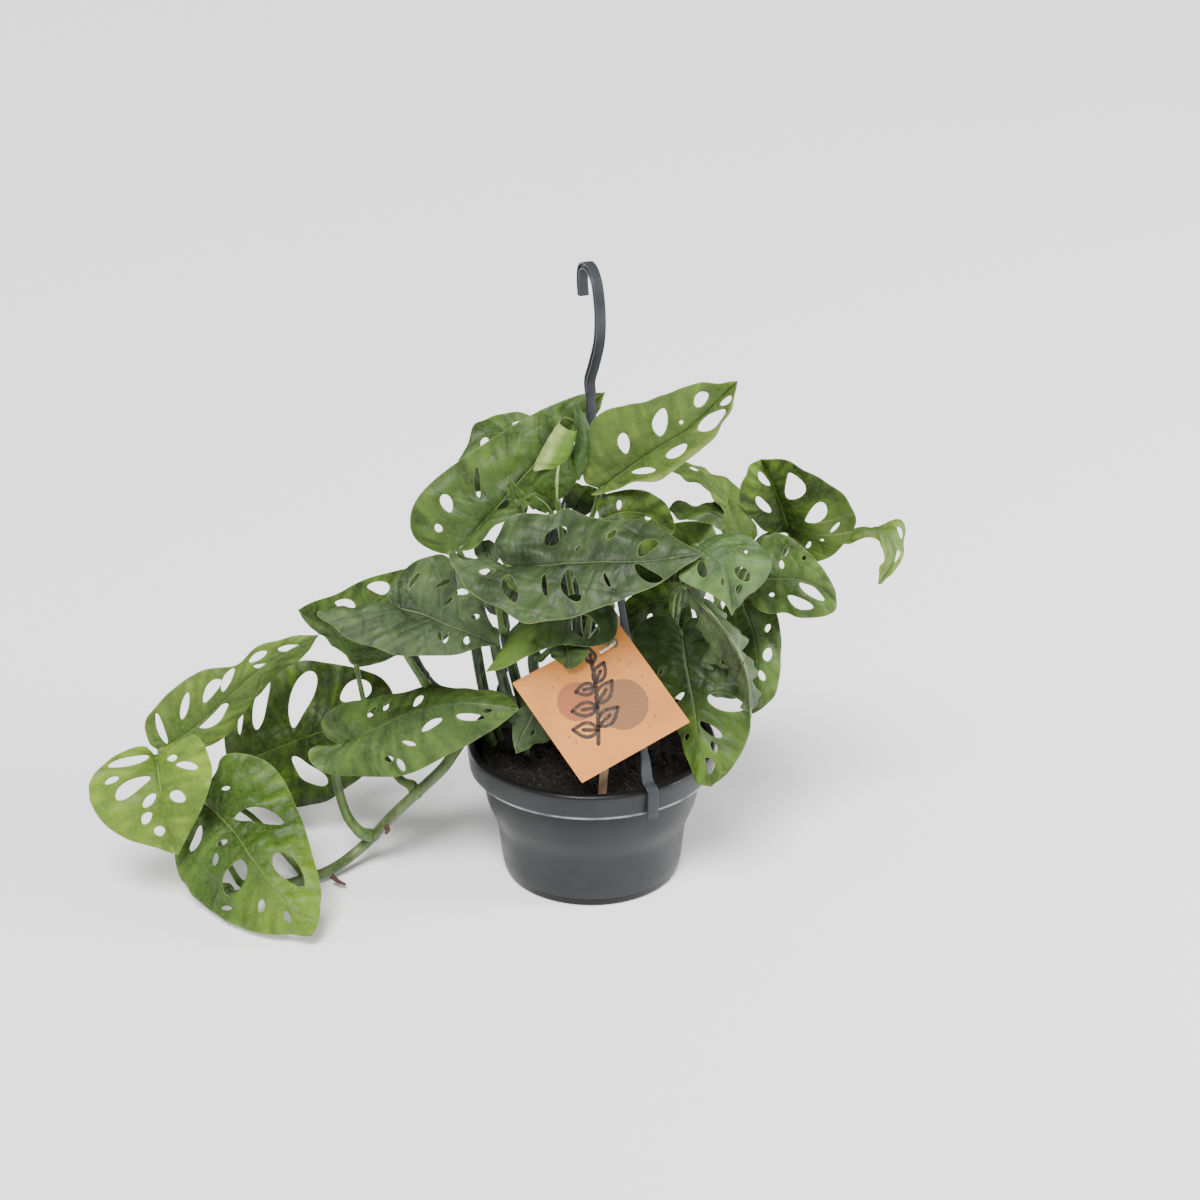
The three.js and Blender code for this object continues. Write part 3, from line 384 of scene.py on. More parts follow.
# deep: the darker green, laid as painted shade along the sunken veins and in hollows, and in broad patches;
# body: the blade, bright: patches between veins, back: the underside
leafTones = {
    "plain": {"deep": "#111d08", "body": "#435a29", "bright": "#5f7a2c", "back": "#667a42", "rib": "#6d8450",
              "patch": 0.6, "ribMix": 0.35, "veins": 0.15, "streak": 0.6, "through": 0.12},
    "grey": {"deep": "#101a11", "body": "#445538", "bright": "#5a6e37", "back": "#616f45", "rib": "#74855f",
             "patch": 0.5, "ribMix": 0.5, "veins": 0.1, "streak": 0.65, "through": 0.08},
    "slate": {"deep": "#121b10", "body": "#39492e", "bright": "#4b5f2c", "back": "#616f45", "rib": "#6d7f58",
              "patch": 0.45, "ribMix": 0.5, "veins": 0.1, "streak": 0.65, "through": 0.06},
    "dark": {"deep": "#0c1603", "body": "#20330a", "bright": "#62801c", "back": "#566b2c", "rib": "#5f7632",
             "patch": 0.85, "ribMix": 0.5, "veins": 0.2, "streak": 0.6, "through": 0.18},
    "fresh": {"deep": "#1c300c", "body": "#34521b", "bright": "#738f28", "back": "#889a4e", "rib": "#7d9350",
              "patch": 0.4, "ribMix": 0.45, "veins": 0.15, "streak": 0.6, "tip": 0.45, "through": 0.12},
    "lime": {"deep": "#40551c", "body": "#5f7a2c", "bright": "#88a02c", "back": "#8d9d50", "rib": "#869852",
             "patch": 0.8, "ribMix": 0.5, "veins": 0.15, "streak": 0.6, "through": 0.16},
    "light": {"deep": "#344920", "body": "#4f682d", "bright": "#7c9231", "back": "#84914e", "rib": "#6b7c50",
              "patch": 0.7, "ribMix": 0.35, "veins": 0.15, "streak": 0.5, "through": 0.14},
    "mint": {"deep": "#243a1e", "body": "#466137", "bright": "#64802e", "back": "#7f8d5c", "rib": "#56704a",
             "patch": 0.5, "ribMix": 0.4, "veins": 0.25, "streak": 0.7, "through": 0.12},
    # inner: darker copies of the leaf colours for leaves deep inside the plant, as painted shade
    "inner": {"deep": "#0c1505", "body": "#22330f", "bright": "#3f5a1a", "back": "#24331a", "rib": "#5a6e3c",
              "patch": 0.5, "ribMix": 0.6, "veins": 0.2, "streak": 0.5, "tip": 0.6, "tipColour": "#5f7d2a",
              "through": 0.08},
    # rear: the back leaves show their undersides to the eye, and the dark back and backVein colours are
    # painted shade
    "rear": {"deep": "#1f2d12", "body": "#3c5224", "bright": "#567028", "back": "#1d2a12", "rib": "#6d8450",
             "patch": 0.6, "ribMix": 0.5, "veins": 0.2, "streak": 0.55, "backVein": "#35472a",
             "through": 0.08},
    # young: the young leaves' colours, with the body darkened as painted shade for the inside of the cup
    "young": {"deep": "#16240a", "body": "#304816", "bright": "#6a8a30", "back": "#72854a", "rib": "#93a862",
              "patch": 0.5, "ribMix": 0.9, "veins": 0.2, "streak": 0.5, "through": 0.12},
    # pale: the rolled young leaf; its dark back colour is painted shade inside the roll, and side darkens one
    # flank as painted shade
    "pale": {"deep": "#4f7020", "body": "#86a048", "bright": "#bcc48c", "back": "#2c3b17", "rib": "#a3b777",
             "patch": 1.0, "ribMix": 0.3, "veins": 0.1, "streak": 0.3, "side": 0.9, "through": 0.12},
    "shade": {"deep": "#080f03", "body": "#101b07", "bright": "#1c2d0b", "back": "#1f3010", "rib": "#283817",
              "patch": 0.4, "ribMix": 0.4, "veins": 0.2, "streak": 0.4, "backVein": "#35472a",
              "through": 0.06},
}
mostMm = 50  # the blade attribute holds distances as a share of this


def leafMaterial(toneName):
    # leaf blade: thin, waxy and slightly see-through
    tone = leafTones[toneName]
    material, tree = newMaterial("leafBlade" + toneName.capitalize())
    veins = addNode(tree, "ShaderNodeUVMap", uv_map="veins")
    phase, reach = addNode(tree, "ShaderNodeSeparateXYZ", (veins,)).node.outputs[:2]
    blade = addNode(tree, "ShaderNodeAttribute", attribute_name="blade").node.outputs
    along, ribShare, edgeShare = addNode(tree, "ShaderNodeSeparateColor", (blade["Color"],)).node.outputs
    ribMm, edgeMm = amount(tree, ribShare, mostMm), amount(tree, edgeShare, mostMm)
    broad, cloud = unevenness(tree, 26), unevenness(tree, 11, 3, 0.55)
    fine, speckle = unevenness(tree, 2.4, 3, 0.6), unevenness(tree, 0.8, 2, 0.6)
    wandering = addNode(tree, "ShaderNodeMath", (unevenness(tree, 12), 0.4, phase), operation="MULTIPLY_ADD")
    centred = addNode(tree, "ShaderNodeMath", (wandering, 0.2), operation="SUBTRACT")
    toVein = addNode(tree, "ShaderNodeMath", (centred, 0.5), operation="PINGPONG")
    # a pattern that follows the side veins and differs from leaf to leaf: it lifts soft folds in the bump
    # relief, and the colour taken from it is painted shade in their hollows and painted highlight on their
    # rises
    coords = objectPlace(tree)
    apart = amount(tree, addNode(tree, "ShaderNodeSeparateXYZ", (coords,)), 14)
    laid = addNode(tree, "ShaderNodeCombineXYZ", (phase, reach, apart))
    streak = unevenness(tree, 1000, 3, 0.55, (0.7, 0.7, 1), laid, 0.5)

    # soft dark bands along the sunken side veins, which fade away in places: painted shade in the vein
    # grooves
    band = amount(tree, (broad, 0.38, 0.62, 0.1, 1.0), tone["veins"], (cloud, 0.3, 0.6, 0.4, 1.0),
                  (toVein, 0.0, 0.2, 1.0, 0.0))
    nearRib = amount(tree, (reach, 0.0, 0.45, 0.55, 0.0), (cloud, 0.3, 0.6, 0.5, 1.0))
    darkest = addNode(tree, "ShaderNodeMath", (band, nearRib), operation="MAXIMUM")
    outward = addNode(tree, "ShaderNodeMath", (along, 0.2, reach), operation="MULTIPLY_ADD")
    top = over(tree, tone["body"], tone["deep"], darkest)
    for colour, *parts in (
            # painted shade where the bump relief's cloud pattern sinks
            ("deep", (cloud, 0.52, 0.3, 0.0, 0.35)),
            ("deep", (broad, 0.55, 0.32, 0.0, 0.4)),
            # painted shade in the hollows of the soft folds, and painted highlight on their rises
            ("deep", (streak, 0.54, 0.36, 0.0, tone["streak"])),
            ("bright", (streak, 0.56, 0.76, 0.0, tone["streak"] * 0.35)),
            # brighter tissue in patches, mostly towards the margin and between the veins
            ("bright", (toVein, 0.05, 0.4, 0.25, 1.0), (outward, 0.25, 0.95, 0.12, 1.0),
             (broad, 0.38, 0.62, 0.15, 1.0), (cloud, 0.3, 0.62, 0.35, 1.0), (streak, 0.35, 0.6, 0.3, 1.0),
             tone["patch"]),
            ("bright", (fine, 0.35, 0.75, 0.0, 0.22))):
        top = over(tree, top, tone[colour], *parts)
    # painted shade: one flank of the rolled leaf darker, as the side turned from the light
    if "side" in tone:
        top = over(tree, top, tone["deep"], (reach, 0.75, 0.15, 0.0, tone["side"]))
    if "tip" in tone:
        top = over(tree, top, tone.get("tipColour", tone["bright"]), (along, 0.5, 0.85, 0.0, tone["tip"]),
                   (streak, 0.3, 0.6, 0.4, 1.0))

    # net of small veins 3 mm apart, and the rib, which narrows towards the tip
    cells = addNode(tree, "ShaderNodeTexVoronoi", {"Vector": coords, "Scale": 1000 / 3.2},
                    feature="DISTANCE_TO_EDGE")
    net = amount(tree, (cells, 0.0, 0.1, 1.0, 0.0))
    top = over(tree, top, tone["bright"], net, 0.08)
    ribWidth = addNode(tree, "ShaderNodeMath", (along, -0.6, 0.85), operation="MULTIPLY_ADD")
    fromRib = addNode(tree, "ShaderNodeMath", (ribMm, ribWidth), operation="DIVIDE")
    ribLine = amount(tree, (fromRib, 0.9, 0.4))
    top = over(tree, top, tone["rib"], ribLine, tone["ribMix"])

    backVein = tone.get("backVein", "#93a76c")
    low = over(tree, tone["back"], tone["body"], (cloud, 0.3, 0.7, 0.0, 0.45))
    low = over(tree, low, backVein, ribLine, 0.6)
    low = over(tree, low, backVein, (toVein, 0.02, 0.07, 0.3, 0.0))
    # painted shade in the hollows of the soft folds on the underside
    low = over(tree, low, tone["body"], (streak, 0.56, 0.34, 0.0, 0.45))
    colour = addNode(tree, "ShaderNodeMix", (blade["Alpha"], top, low), data_type="RGBA")
    # thin paler rim: painted highlight where the margin catches light
    colour = over(tree, colour, "#8c9d5c", (edgeMm, 0.15, 0.7, 1.0, 0.0),
                  (broad, 0.35, 0.65, 0.3, 0.85), 0.42)

    height = amount(tree, streak, 2.2)
    for source, lift in ((fine, 0.5), (cloud, 1.6), (amount(tree, (toVein, 0.0, 0.09)), 0.25)):
        height = addNode(tree, "ShaderNodeMath", (source, lift, height), operation="MULTIPLY_ADD")
    pitted = addNode(tree, "ShaderNodeMath", (net, -0.4, speckle), operation="MULTIPLY_ADD")
    relief = ((height, 0.32), (pitted, 0.05))
    waxy = surfaceOf(tree, colour, amount(tree, (fine, 0.3, 0.7, 0.42, 0.56)), relief,
                     **{"IOR": 1.45, "Specular IOR Level": 0.3})
    glow = addNode(tree, "ShaderNodeBsdfTranslucent", {"Color": over(tree, colour, "#7f9a24", 0.5)})
    finish(tree, addNode(tree, "ShaderNodeMixShader", (tone["through"], waxy, glow)))
    return material


def stalkMaterial(name, light, dark):
    # green stem and leaf stalk: smooth skin with faint lengthwise streaks and pale specks
    material, tree = newMaterial(name)
    broad, streak = unevenness(tree, 14), unevenness(tree, 1.6, 3, 0.6, (1, 1, 0.22))
    colour = over(tree, dark, light, (broad, 0.3, 0.7))
    colour = over(tree, colour, "#7d9450", (streak, 0.45, 0.75, 0.0, 0.3))
    colour = over(tree, colour, "#8f9f68", (unevenness(tree, 0.9, 1), 0.68, 0.74, 0.0, 0.35))
    finish(tree, surfaceOf(tree, colour, amount(tree, (broad, 0.3, 0.7, 0.36, 0.5)), ((streak, 0.08),),
                           **{"Specular IOR Level": 0.45, "Subsurface Weight": 0.06,
                              "Subsurface Radius": (0.002, 0.003, 0.001)}))
    return material


def grainMaterial(name, base, layers, depth, rough, grain=None):
    # a base colour under layers of (colour, pattern, low, high, start, end); the relief, depth in mm,
    # follows the last pattern or its own grain
    material, tree = newMaterial(name)
    colour = base
    for tone, pattern, *eased in layers:
        height = unevenness(tree, *pattern)
        colour = over(tree, colour, tone, (height, *eased))
    if grain:
        height = unevenness(tree, *grain)
    finish(tree, surfaceOf(tree, colour, rough, ((height, depth),)))
    return material


# Each leaf has a rib from base to tip, two margins that leave the base and meet at the tip, and the
# tilt in degrees of each half towards the viewer. A hole is [u, v, long, wide, angle]. A stalk runs
# from the base through its points to its foot on a stem, from 0 (soil) to 1 (top). Last come the tone,
# and how far the relief departs from the usual.
stems = {
    "vine_trailing": [[491, 741, -4], [485, 730, -2], [475, 729, 5], [465, 737, 13], [455, 751, 20],
        [443, 768, 24], [421, 789, 22], [393, 815, 16], [363, 846, 8], [330, 870, 22], [292, 883, 34],
        [258, 892, 46], [228, 896, 51]],
    "vine_slim": [[524, 752, 8], [506, 690, 14], [497, 656, 16], [493, 628, 16]],
    "vine_left": [[498, 738, -10], [484, 691, -4], [476, 648, 0], [470, 615, 2]],
    "vine_leaning": [[504, 727, -27], [500, 717, -25], [474, 703, -8], [434, 687, 14], [412, 655, 26],
        [404, 635, 30]],
    "vine_middle": [[530, 730, -20], [516, 680, -14], [506, 640, -10], [503, 600, -6], [510, 560, 0]],
    "vine_front": [[556, 744, 0], [537, 684, 8], [534, 650, 12], [550, 618, 20]],
    "vine_centre": [[588, 722, -30], [578, 640, -24], [573, 560, -20], [572, 515, -14]],
    "vine_right": [[628, 742, -5], [652, 690, -2], [668, 640, 0], [678, 600, 2]],
    "vine_back": [[640, 718, -35], [644, 709, -35], [684, 680, -24], [716, 632, -18], [745, 590, -12]],
}
leaves = {
    "leaf_a": {
        "rib": [[600, 489, 28], [649, 454, 36], [688, 429, 42], [723, 397, 44], [738, 381, 42]],
        "first": [[584, 480], [584, 452], [592, 421], [615, 408], [654, 398], [690, 387], [722, 382]],
        "second": [[591, 495], [612, 492], [636, 483], [660, 481], [688, 463], [714, 438], [735, 412]],
        "holes": [[624, 442, 21, 12, 97], [661, 422, 27, 15, 78], [682, 421, 4, 4, 0],
            [702, 399, 17, 11, 45], [727, 401, 13, 7, 35], [712, 421, 32, 13, 33], [677, 452, 24, 10, 28],
            [644, 471, 24, 6, 6]],
        "petiole": [[596, 505, 24], [584, 540, 2]], "foot": ["vine_centre", 0.72], "tilt": [10, 35],
        "tone": "light", "quilt": 0.5, "crease": 0.4, "turned": (1, 0.12, 0.95, 0.7, 3),
    },
    "leaf_b": {
        "rib": [[459, 550, 30], [490, 515, 22], [524, 476, 11], [562, 433, -9], [606, 392, -21]],
        "first": [[437, 554], [416, 538], [411, 516], [422, 492], [456, 463], [522, 420], [575, 396]],
        "second": [[474, 548], [497, 527], [523, 511], [537, 493], [562, 461], [594, 416]],
        "holes": [[447, 502, 19, 11, 110], [439, 527, 9, 7, 135], [478, 482, 30, 6, 95],
            [504, 506, 15, 9, 30], [516, 436, 16, 5, 80]],
        "petiole": [[466, 562, 24], [486, 590, 6]], "foot": ["vine_middle", 0.8], "tilt": [-10, 20],
        "tone": "plain", "quilt": 0.5, "crease": 0.5, "billow": 1.4,
    },
    "leaf_c": {
        "rib": [[545, 452, -34], [515, 434, -34], [490, 434, -30], [468, 446, -24], [458, 461, -20]],
        "first": [[548, 428], [530, 415], [506, 413], [488, 417], [476, 423], [468, 442]],
        "second": [[540, 468], [515, 466], [490, 462], [472, 462]],
        "holes": [[484, 443, 11, 8, 80], [516, 424, 8, 4, 10]],
        "petiole": [[556, 466, -38], [566, 500, -34]], "foot": ["vine_centre", 0.86], "tilt": [-30, 40],
        "tone": "plain", "wave": 2,
    },
    "leaf_d": {
        "rib": [[558, 500, 46], [562, 470, 50], [568, 435, 46], [575, 404, 36]],
        "first": [[544, 500], [534, 482], [538, 455], [549, 425], [564, 410]],
        "second": [[566, 500], [581, 484], [592, 458], [591, 430], [582, 412]],
        "holes": [[552, 452, 5, 5, 0]],
        "petiole": [[559, 514, 38], [562, 540, 14]], "foot": ["vine_centre", 0.6], "tilt": [45, 20],
        "tone": "shade",
    },
    "leaf_f": {
        "rib": [[505, 567, 58], [540, 566, 66], [590, 562, 74], [646, 561, 80], [704, 553, 84]],
        "first": [[497, 550], [503, 525], [520, 513], [549, 514], [565, 508], [590, 517], [615, 524],
            [640, 520], [665, 531], [690, 546]],
        "second": [[484, 562], [447, 551], [456, 572], [470, 593], [500, 608], [524, 624], [552, 622],
            [590, 611], [640, 592], [688, 565]],
        "holes": [[554, 535, 26, 14, 40], [577, 548, 7, 4, 45], [614, 539, 12, 5, 40],
            [650, 549, 24, 10, 30], [571, 587, 30, 18, 110], [508, 588, 25, 15, 110], [487, 573, 15, 6, 0],
            [544, 585, 24, 5, 95], [606, 581, 14, 4, 115], [647, 575, 28, 12, -25]],
        "petiole": [[510, 582, 46], [530, 600, 36]], "foot": ["vine_front", 0.96], "tilt": [-35, 30],
        "tone": "slate", "billow": 1.9, "crease": 1.2, "quilt": 0.6,
    },
    "leaf_g": {
        "rib": [[396, 607, 58], [420, 613, 58], [443, 623, 56], [468, 632, 52], [500, 646, 46]],
        "first": [[388, 598], [396, 580], [412, 562], [430, 556], [447, 554], [464, 572], [481, 597],
            [493, 624]],
        "second": [[372, 606], [319, 611], [331, 627], [352, 640], [374, 647], [398, 655], [430, 656],
            [455, 655], [481, 647]],
        "holes": [[413, 581, 18, 4, 55], [441, 584, 18, 4, 25], [447, 602, 13, 4, 40], [461, 592, 13, 6, 5],
            [439, 637, 9, 4, 90], [446, 638, 12, 4, 60], [467, 640, 8, 6, 80], [477, 617, 8, 6, 20]],
        "petiole": [[397, 622, 50], [399, 638, 42], [406, 654, 35]], "foot": ["vine_leaning", 0.72],
        "stalk": 2.4, "tilt": [-30, 35], "tone": "grey", "billow": 2.1, "crease": 1.5, "quilt": 1.6,
    },
    "leaf_h": {
        "rib": [[357, 667, 8], [348, 650, 20], [333, 630, 30], [298, 610, 36]],
        "first": [[376, 664], [412, 650], [450, 636], [457, 604], [448, 576], [428, 565], [408, 568],
            [366, 579], [336, 594], [312, 602]],
        "second": [[350, 662], [338, 650], [323, 637], [308, 625]],
        "holes": [[378, 588, 19, 12, -5], [345, 604, 19, 11, -10], [395, 599, 12, 5, 42]],
        "petiole": [[360, 684, 0], [367, 706, -2], [388, 716, 0], [430, 710, 4]],
        "foot": ["vine_leaning", 0.36], "tilt": [-45, 20], "tone": "plain", "quilt": 0.8,
    },
    "leaf_i": {
        "rib": [[345, 722, -14], [320, 732, -16], [290, 743, -18], [256, 756, -20], [229, 762, -20]],
        "first": [[365, 716], [392, 700], [384, 680], [360, 669], [329, 663], [300, 661], [270, 672],
            [240, 698], [224, 724], [224, 748]],
        "second": [[362, 733], [372, 762], [350, 786], [325, 803], [300, 807], [272, 802], [246, 788],
            [232, 772]],
        "holes": [[301, 698, 55, 21, 72], [262, 706, 46, 14, 78], [241, 721, 26, 5, 88],
            [356, 692, 32, 20, 20], [310, 771, 42, 17, -38]],
        "petiole": [[366, 735, -8], [388, 762, 2], [400, 779, 10], [412, 785, 18]],
        "foot": ["vine_trailing", 0.342], "stalk": 2.8, "tilt": [-20, -10], "tone": "dark", "quilt": 1.8,
    },
    "leaf_j": {
        "rib": [[341, 748, 26], [351, 740, 30], [382, 726, 36], [412, 712, 40], [460, 703, 46],
            [519, 709, 54]],
        "first": [[328, 738], [321, 724], [330, 711], [350, 703], [385, 695], [435, 688], [489, 690],
            [512, 700]],
        "second": [[322, 744], [309, 751], [313, 765], [334, 775], [375, 777], [405, 775], [443, 758],
            [480, 738], [506, 720]],
        "holes": [[387, 707, 8, 5, 60], [418, 701, 13, 6, 35], [373, 712, 12, 5, 50], [471, 717, 26, 8, -3],
            [432, 724, 22, 7, 30], [488, 710, 10, 4, 5], [410, 742, 14, 4, -10], [401, 765, 13, 7, -60],
            [390, 758, 8, 7, 0]],
        "petiole": [[335, 768, 18], [340, 795, 15], [348, 817, 15], [359, 831, 16]],
        "foot": ["vine_trailing", 0.548], "stalk": 3.3, "tilt": [-50, 12], "tone": "plain", "quilt": 0.9,
        "crease": 0.8,
    },
    "leaf_k": {
        "rib": [[205, 802, 30], [232, 830, 52], [258, 867, 78], [288, 905, 98], [312, 936, 106]],
        "first": [[211, 782], [220, 760], [237, 753], [264, 760], [282, 778], [296, 806], [308, 838],
            [321, 890], [318, 922]],
        "second": [[196, 818], [182, 841], [176, 860], [188, 889], [218, 915], [253, 931], [290, 936]],
        "holes": [[227, 789, 8, 4, 10], [259, 815, 50, 13, -6], [289, 869, 40, 20, -42],
            [197, 838, 28, 9, 62], [223, 843, 10, 5, 40], [218, 859, 12, 5, 80], [237, 878, 34, 18, 75],
            [227, 908, 10, 5, 0], [262, 906, 13, 8, 80], [287, 917, 12, 7, 120]],
        "petiole": [[208, 814, 18], [222, 850, 24], [238, 880, 40]], "foot": ["vine_trailing", 0.948],
        "tilt": [-24, 0], "tone": "fresh", "quilt": 2.0, "crease": 0.5, "billow": 1.3,
    },
    "leaf_l": {
        "rib": [[156, 757, 44], [160, 785, 54], [167, 820, 62], [178, 855, 62]],
        "first": [[148, 749], [138, 744], [123, 751], [107, 762], [91, 779], [89, 800], [107, 826],
            [136, 842], [163, 850]],
        "second": [[168, 746], [184, 737], [197, 735], [208, 752], [211, 780], [204, 804], [190, 832]],
        "holes": [[132, 760, 40, 9, 15], [112, 780, 14, 6, 25], [132, 786, 38, 14, 32],
            [150, 800, 16, 9, 45], [146, 818, 14, 9, 50], [160, 831, 11, 10, 0], [172, 758, 12, 6, 20],
            [188, 764, 20, 8, -5], [178, 796, 15, 12, -20]],
        "petiole": [[160, 772, 30], [172, 812, 24], [190, 856, 30], [212, 884, 44]],
        "foot": ["vine_trailing", 0.995], "tilt": [6, 5], "tone": "lime", "quilt": 1.0,
    },
    "leaf_m": {
        "rib": [[160, 752, 22], [197, 726, 14], [232, 693, 8], [269, 663, 4], [319, 635, 0]],
        "first": [[149, 742], [145, 722], [157, 706], [174, 688], [202, 671], [235, 665], [258, 646],
            [290, 637]],
        "second": [[176, 750], [209, 744], [234, 729], [252, 702], [272, 682], [303, 657]],
        "holes": [[184, 706, 25, 8, 78], [211, 689, 26, 11, 52], [228, 679, 24, 8, 60],
            [257, 656, 20, 7, 28], [288, 648, 22, 6, 8], [161, 730, 30, 7, 112], [263, 667, 18, 5, 5],
            [213, 717, 34, 13, 38]],
        "petiole": [[168, 764, 10], [206, 791, 4], [250, 815, 8], [282, 850, 20]],
        "foot": ["vine_trailing", 0.785], "tilt": [-8, -20], "tone": "light", "quilt": 1.5,
    },
    "leaf_n": {
        "rib": [[696, 545, 70], [713, 556, 78], [726, 574, 82], [732, 616, 74]],
        "first": [[708, 537], [729, 533], [750, 537], [766, 549], [771, 568], [766, 584], [752, 597],
            [737, 606]],
        "second": [[688, 555], [679, 576], [690, 585], [705, 592], [722, 601]],
        "holes": [[702, 569, 16, 10, 100], [721, 581, 8, 4, 90], [742, 574, 18, 12, -40],
            [738, 588, 11, 6, 75], [743, 550, 14, 4, -25]],
        "petiole": [[690, 556, 58], [684, 576, 32]], "foot": ["vine_right", 0.97], "tilt": [-30, 20],
        "tone": "mint", "billow": 1.4,
    },
    "leaf_o": {
        "rib": [[790, 536, 14], [784, 515, 22], [775, 490, 26], [761, 459, 26]],
        "first": [[781, 530], [765, 531], [752, 518], [739, 500], [743, 481], [750, 466]],
        "second": [[796, 543], [806, 554], [818, 560], [839, 550], [858, 521], [850, 503], [831, 485],
            [808, 470], [781, 461]],
        "holes": [[762, 479, 18, 7, -48], [763, 505, 23, 8, -42], [795, 485, 26, 19, 100],
            [820, 510, 22, 15, 45], [838, 525, 11, 4, 50], [811, 543, 7, 4, 60], [825, 536, 4, 3, 0]],
        "petiole": [[786, 550, 4], [768, 572, -6]], "foot": ["vine_back", 0.98], "tilt": [30, 25],
        "tone": "dark", "turned": (1, -0.2, 0.5, 0.35, 5),
    },
    "leaf_p": {
        "rib": [[838, 543, 2], [860, 530, 4], [884, 532, 8], [894, 556, 12], [878, 584, 14]],
        "first": [[848, 533], [866, 526], [888, 525], [901, 520], [907, 535], [898, 562], [883, 582]],
        "second": [[850, 544], [866, 538], [879, 541], [883, 559], [879, 574]],
        "holes": [[901, 532, 12, 5, -60], [896, 556, 11, 3, 75]],
        "petiole": [[824, 552, 0], [800, 572, -6], [770, 590, -14]], "foot": ["vine_back", 0.92],
        "tilt": [-30, 30], "tone": "light",
    },
    "leaf_q": {
        "rib": [[752, 579, 28], [775, 579, 34], [800, 580, 38], [820, 588, 40], [837, 602, 40]],
        "first": [[750, 560], [756, 540], [771, 532], [792, 538], [806, 550], [822, 567], [834, 586]],
        "second": [[750, 592], [756, 607], [769, 614], [785, 613], [800, 618], [822, 617], [835, 611]],
        "holes": [[781, 564, 8, 5, 100], [786, 551, 13, 5, 60], [805, 558, 5, 4, 60],
            [812, 591, 28, 10, -38], [799, 603, 26, 11, -25], [771, 595, 5, 4, 0]],
        "petiole": [[744, 584, 14]], "foot": ["vine_back", 0.96], "tilt": [-20, 20], "tone": "plain",
    },
    "leaf_r": {
        "rib": [[748, 522, -10], [725, 500, -14], [700, 476, -14], [668, 470, -10]],
        "first": [[757, 515], [744, 496], [727, 478], [712, 470], [694, 463], [676, 464]],
        "second": [[742, 522], [722, 508], [700, 487], [682, 478]],
        "holes": [[694, 470, 9, 3, -10]],
        "petiole": [[752, 540, -18], [746, 568, -24]], "foot": ["vine_back", 0.87], "tilt": [-55, 45],
        "tone": "light",
    },
    "leaf_s": {
        "rib": [[600, 520, 40], [625, 512, 36], [652, 516, 32], [676, 530, 28]],
        "first": [[596, 504], [606, 494], [633, 489], [655, 496], [668, 508]],
        "second": [[604, 544], [632, 555], [662, 547]],
        "holes": [[619, 505, 9, 5, 80], [648, 518, 6, 5, 0]],
        "petiole": [[600, 536, 30], [596, 575, -8]], "foot": ["vine_centre", 0.42], "tilt": [-30, 20],
        "tone": "dark",
    },
    "leaf_t": {
        "rib": [[742, 552, 30], [737, 528, 34], [728, 495, 34]],
        "first": [[730, 548], [722, 530], [724, 512]],
        "second": [[752, 546], [757, 532], [745, 512]],
        "holes": [],
        "petiole": [[740, 564, 20], [725, 590, 8]], "foot": ["vine_right", 0.6], "tilt": [20, -30],
        "tone": "light",
    },
    "leaf_u": {
        "rib": [[735, 526, -4], [715, 512, -2], [690, 510, 2], [668, 510, 4]],
        "first": [[738, 512], [728, 499], [712, 502], [690, 504], [678, 499]],
        "second": [[728, 534], [706, 522], [682, 520]],
        "holes": [],
        "petiole": [[732, 545, -6], [722, 590, -4]], "foot": ["vine_back", 0.68], "tilt": [-55, 40],
        "tone": "plain",
    },
    "leaf_v": {
        "rib": [[681, 630, 24], [686, 665, 36], [693, 700, 48], [700, 745, 62], [711, 787, 70]],
        "first": [[672, 617], [650, 617], [632, 634], [638, 672], [659, 705], [679, 735], [687, 760],
            [696, 781]],
        "second": [[694, 618], [716, 632], [734, 660], [745, 690], [751, 722], [744, 748], [730, 770]],
        "holes": [[726, 703, 34, 18, -15], [711, 730, 26, 9, -35], [714, 748, 11, 6, -70],
            [708, 766, 17, 11, -80], [708, 667, 14, 4, -25], [680, 697, 12, 6, 50], [665, 670, 10, 7, 50],
            [687, 736, 7, 5, 60]],
        "petiole": [[677, 642, 14], [670, 662, 8]], "foot": ["vine_right", 0.35], "tilt": [-30, 10],
        "tone": "inner", "quilt": 1.5,
    },
    "leaf_w": {
        "rib": [[683, 584, 66], [700, 602, 74], [726, 632, 84], [746, 672, 88], [751, 719, 86]],
        "first": [[678, 590], [688, 606], [703, 622], [703, 642], [712, 664], [730, 674], [740, 696]],
        "second": [[696, 592], [717, 612], [740, 640], [754, 676], [756, 702]],
        "holes": [[724, 662, 8, 6, 0]],
        "petiole": [[677, 590, 50], [673, 598, 26]], "foot": ["vine_right", 0.85], "tilt": [-62, -55],
        "tone": "grey", "wave": 4.0, "ripples": 1.7,
    },
    "leaf_x": {
        "rib": [[742, 603, -6], [752, 630, 8], [757, 660, 18], [753, 714, 26]],
        "first": [[733, 600], [722, 612], [722, 640], [730, 672], [742, 700]],
        "second": [[753, 598], [769, 601], [778, 617], [782, 650], [779, 682], [769, 703]],
        "holes": [[767, 655, 13, 9, 80], [762, 676, 11, 6, -60], [768, 628, 8, 5, 70]],
        "petiole": [[732, 616, -8], [716, 640, -10]], "foot": ["vine_back", 0.5], "tilt": [-30, 0],
        "tone": "plain",
    },
    "leaf_y": {
        "rib": [[612, 604, 44], [585, 603, 52], [552, 614, 60], [522, 634, 66], [486, 672, 66]],
        "first": [[600, 596], [572, 596], [540, 606], [516, 624], [500, 648]],
        "second": [[617, 620], [612, 640], [590, 647], [560, 645], [530, 655], [505, 668]],
        "holes": [[583, 627, 28, 22, -15]],
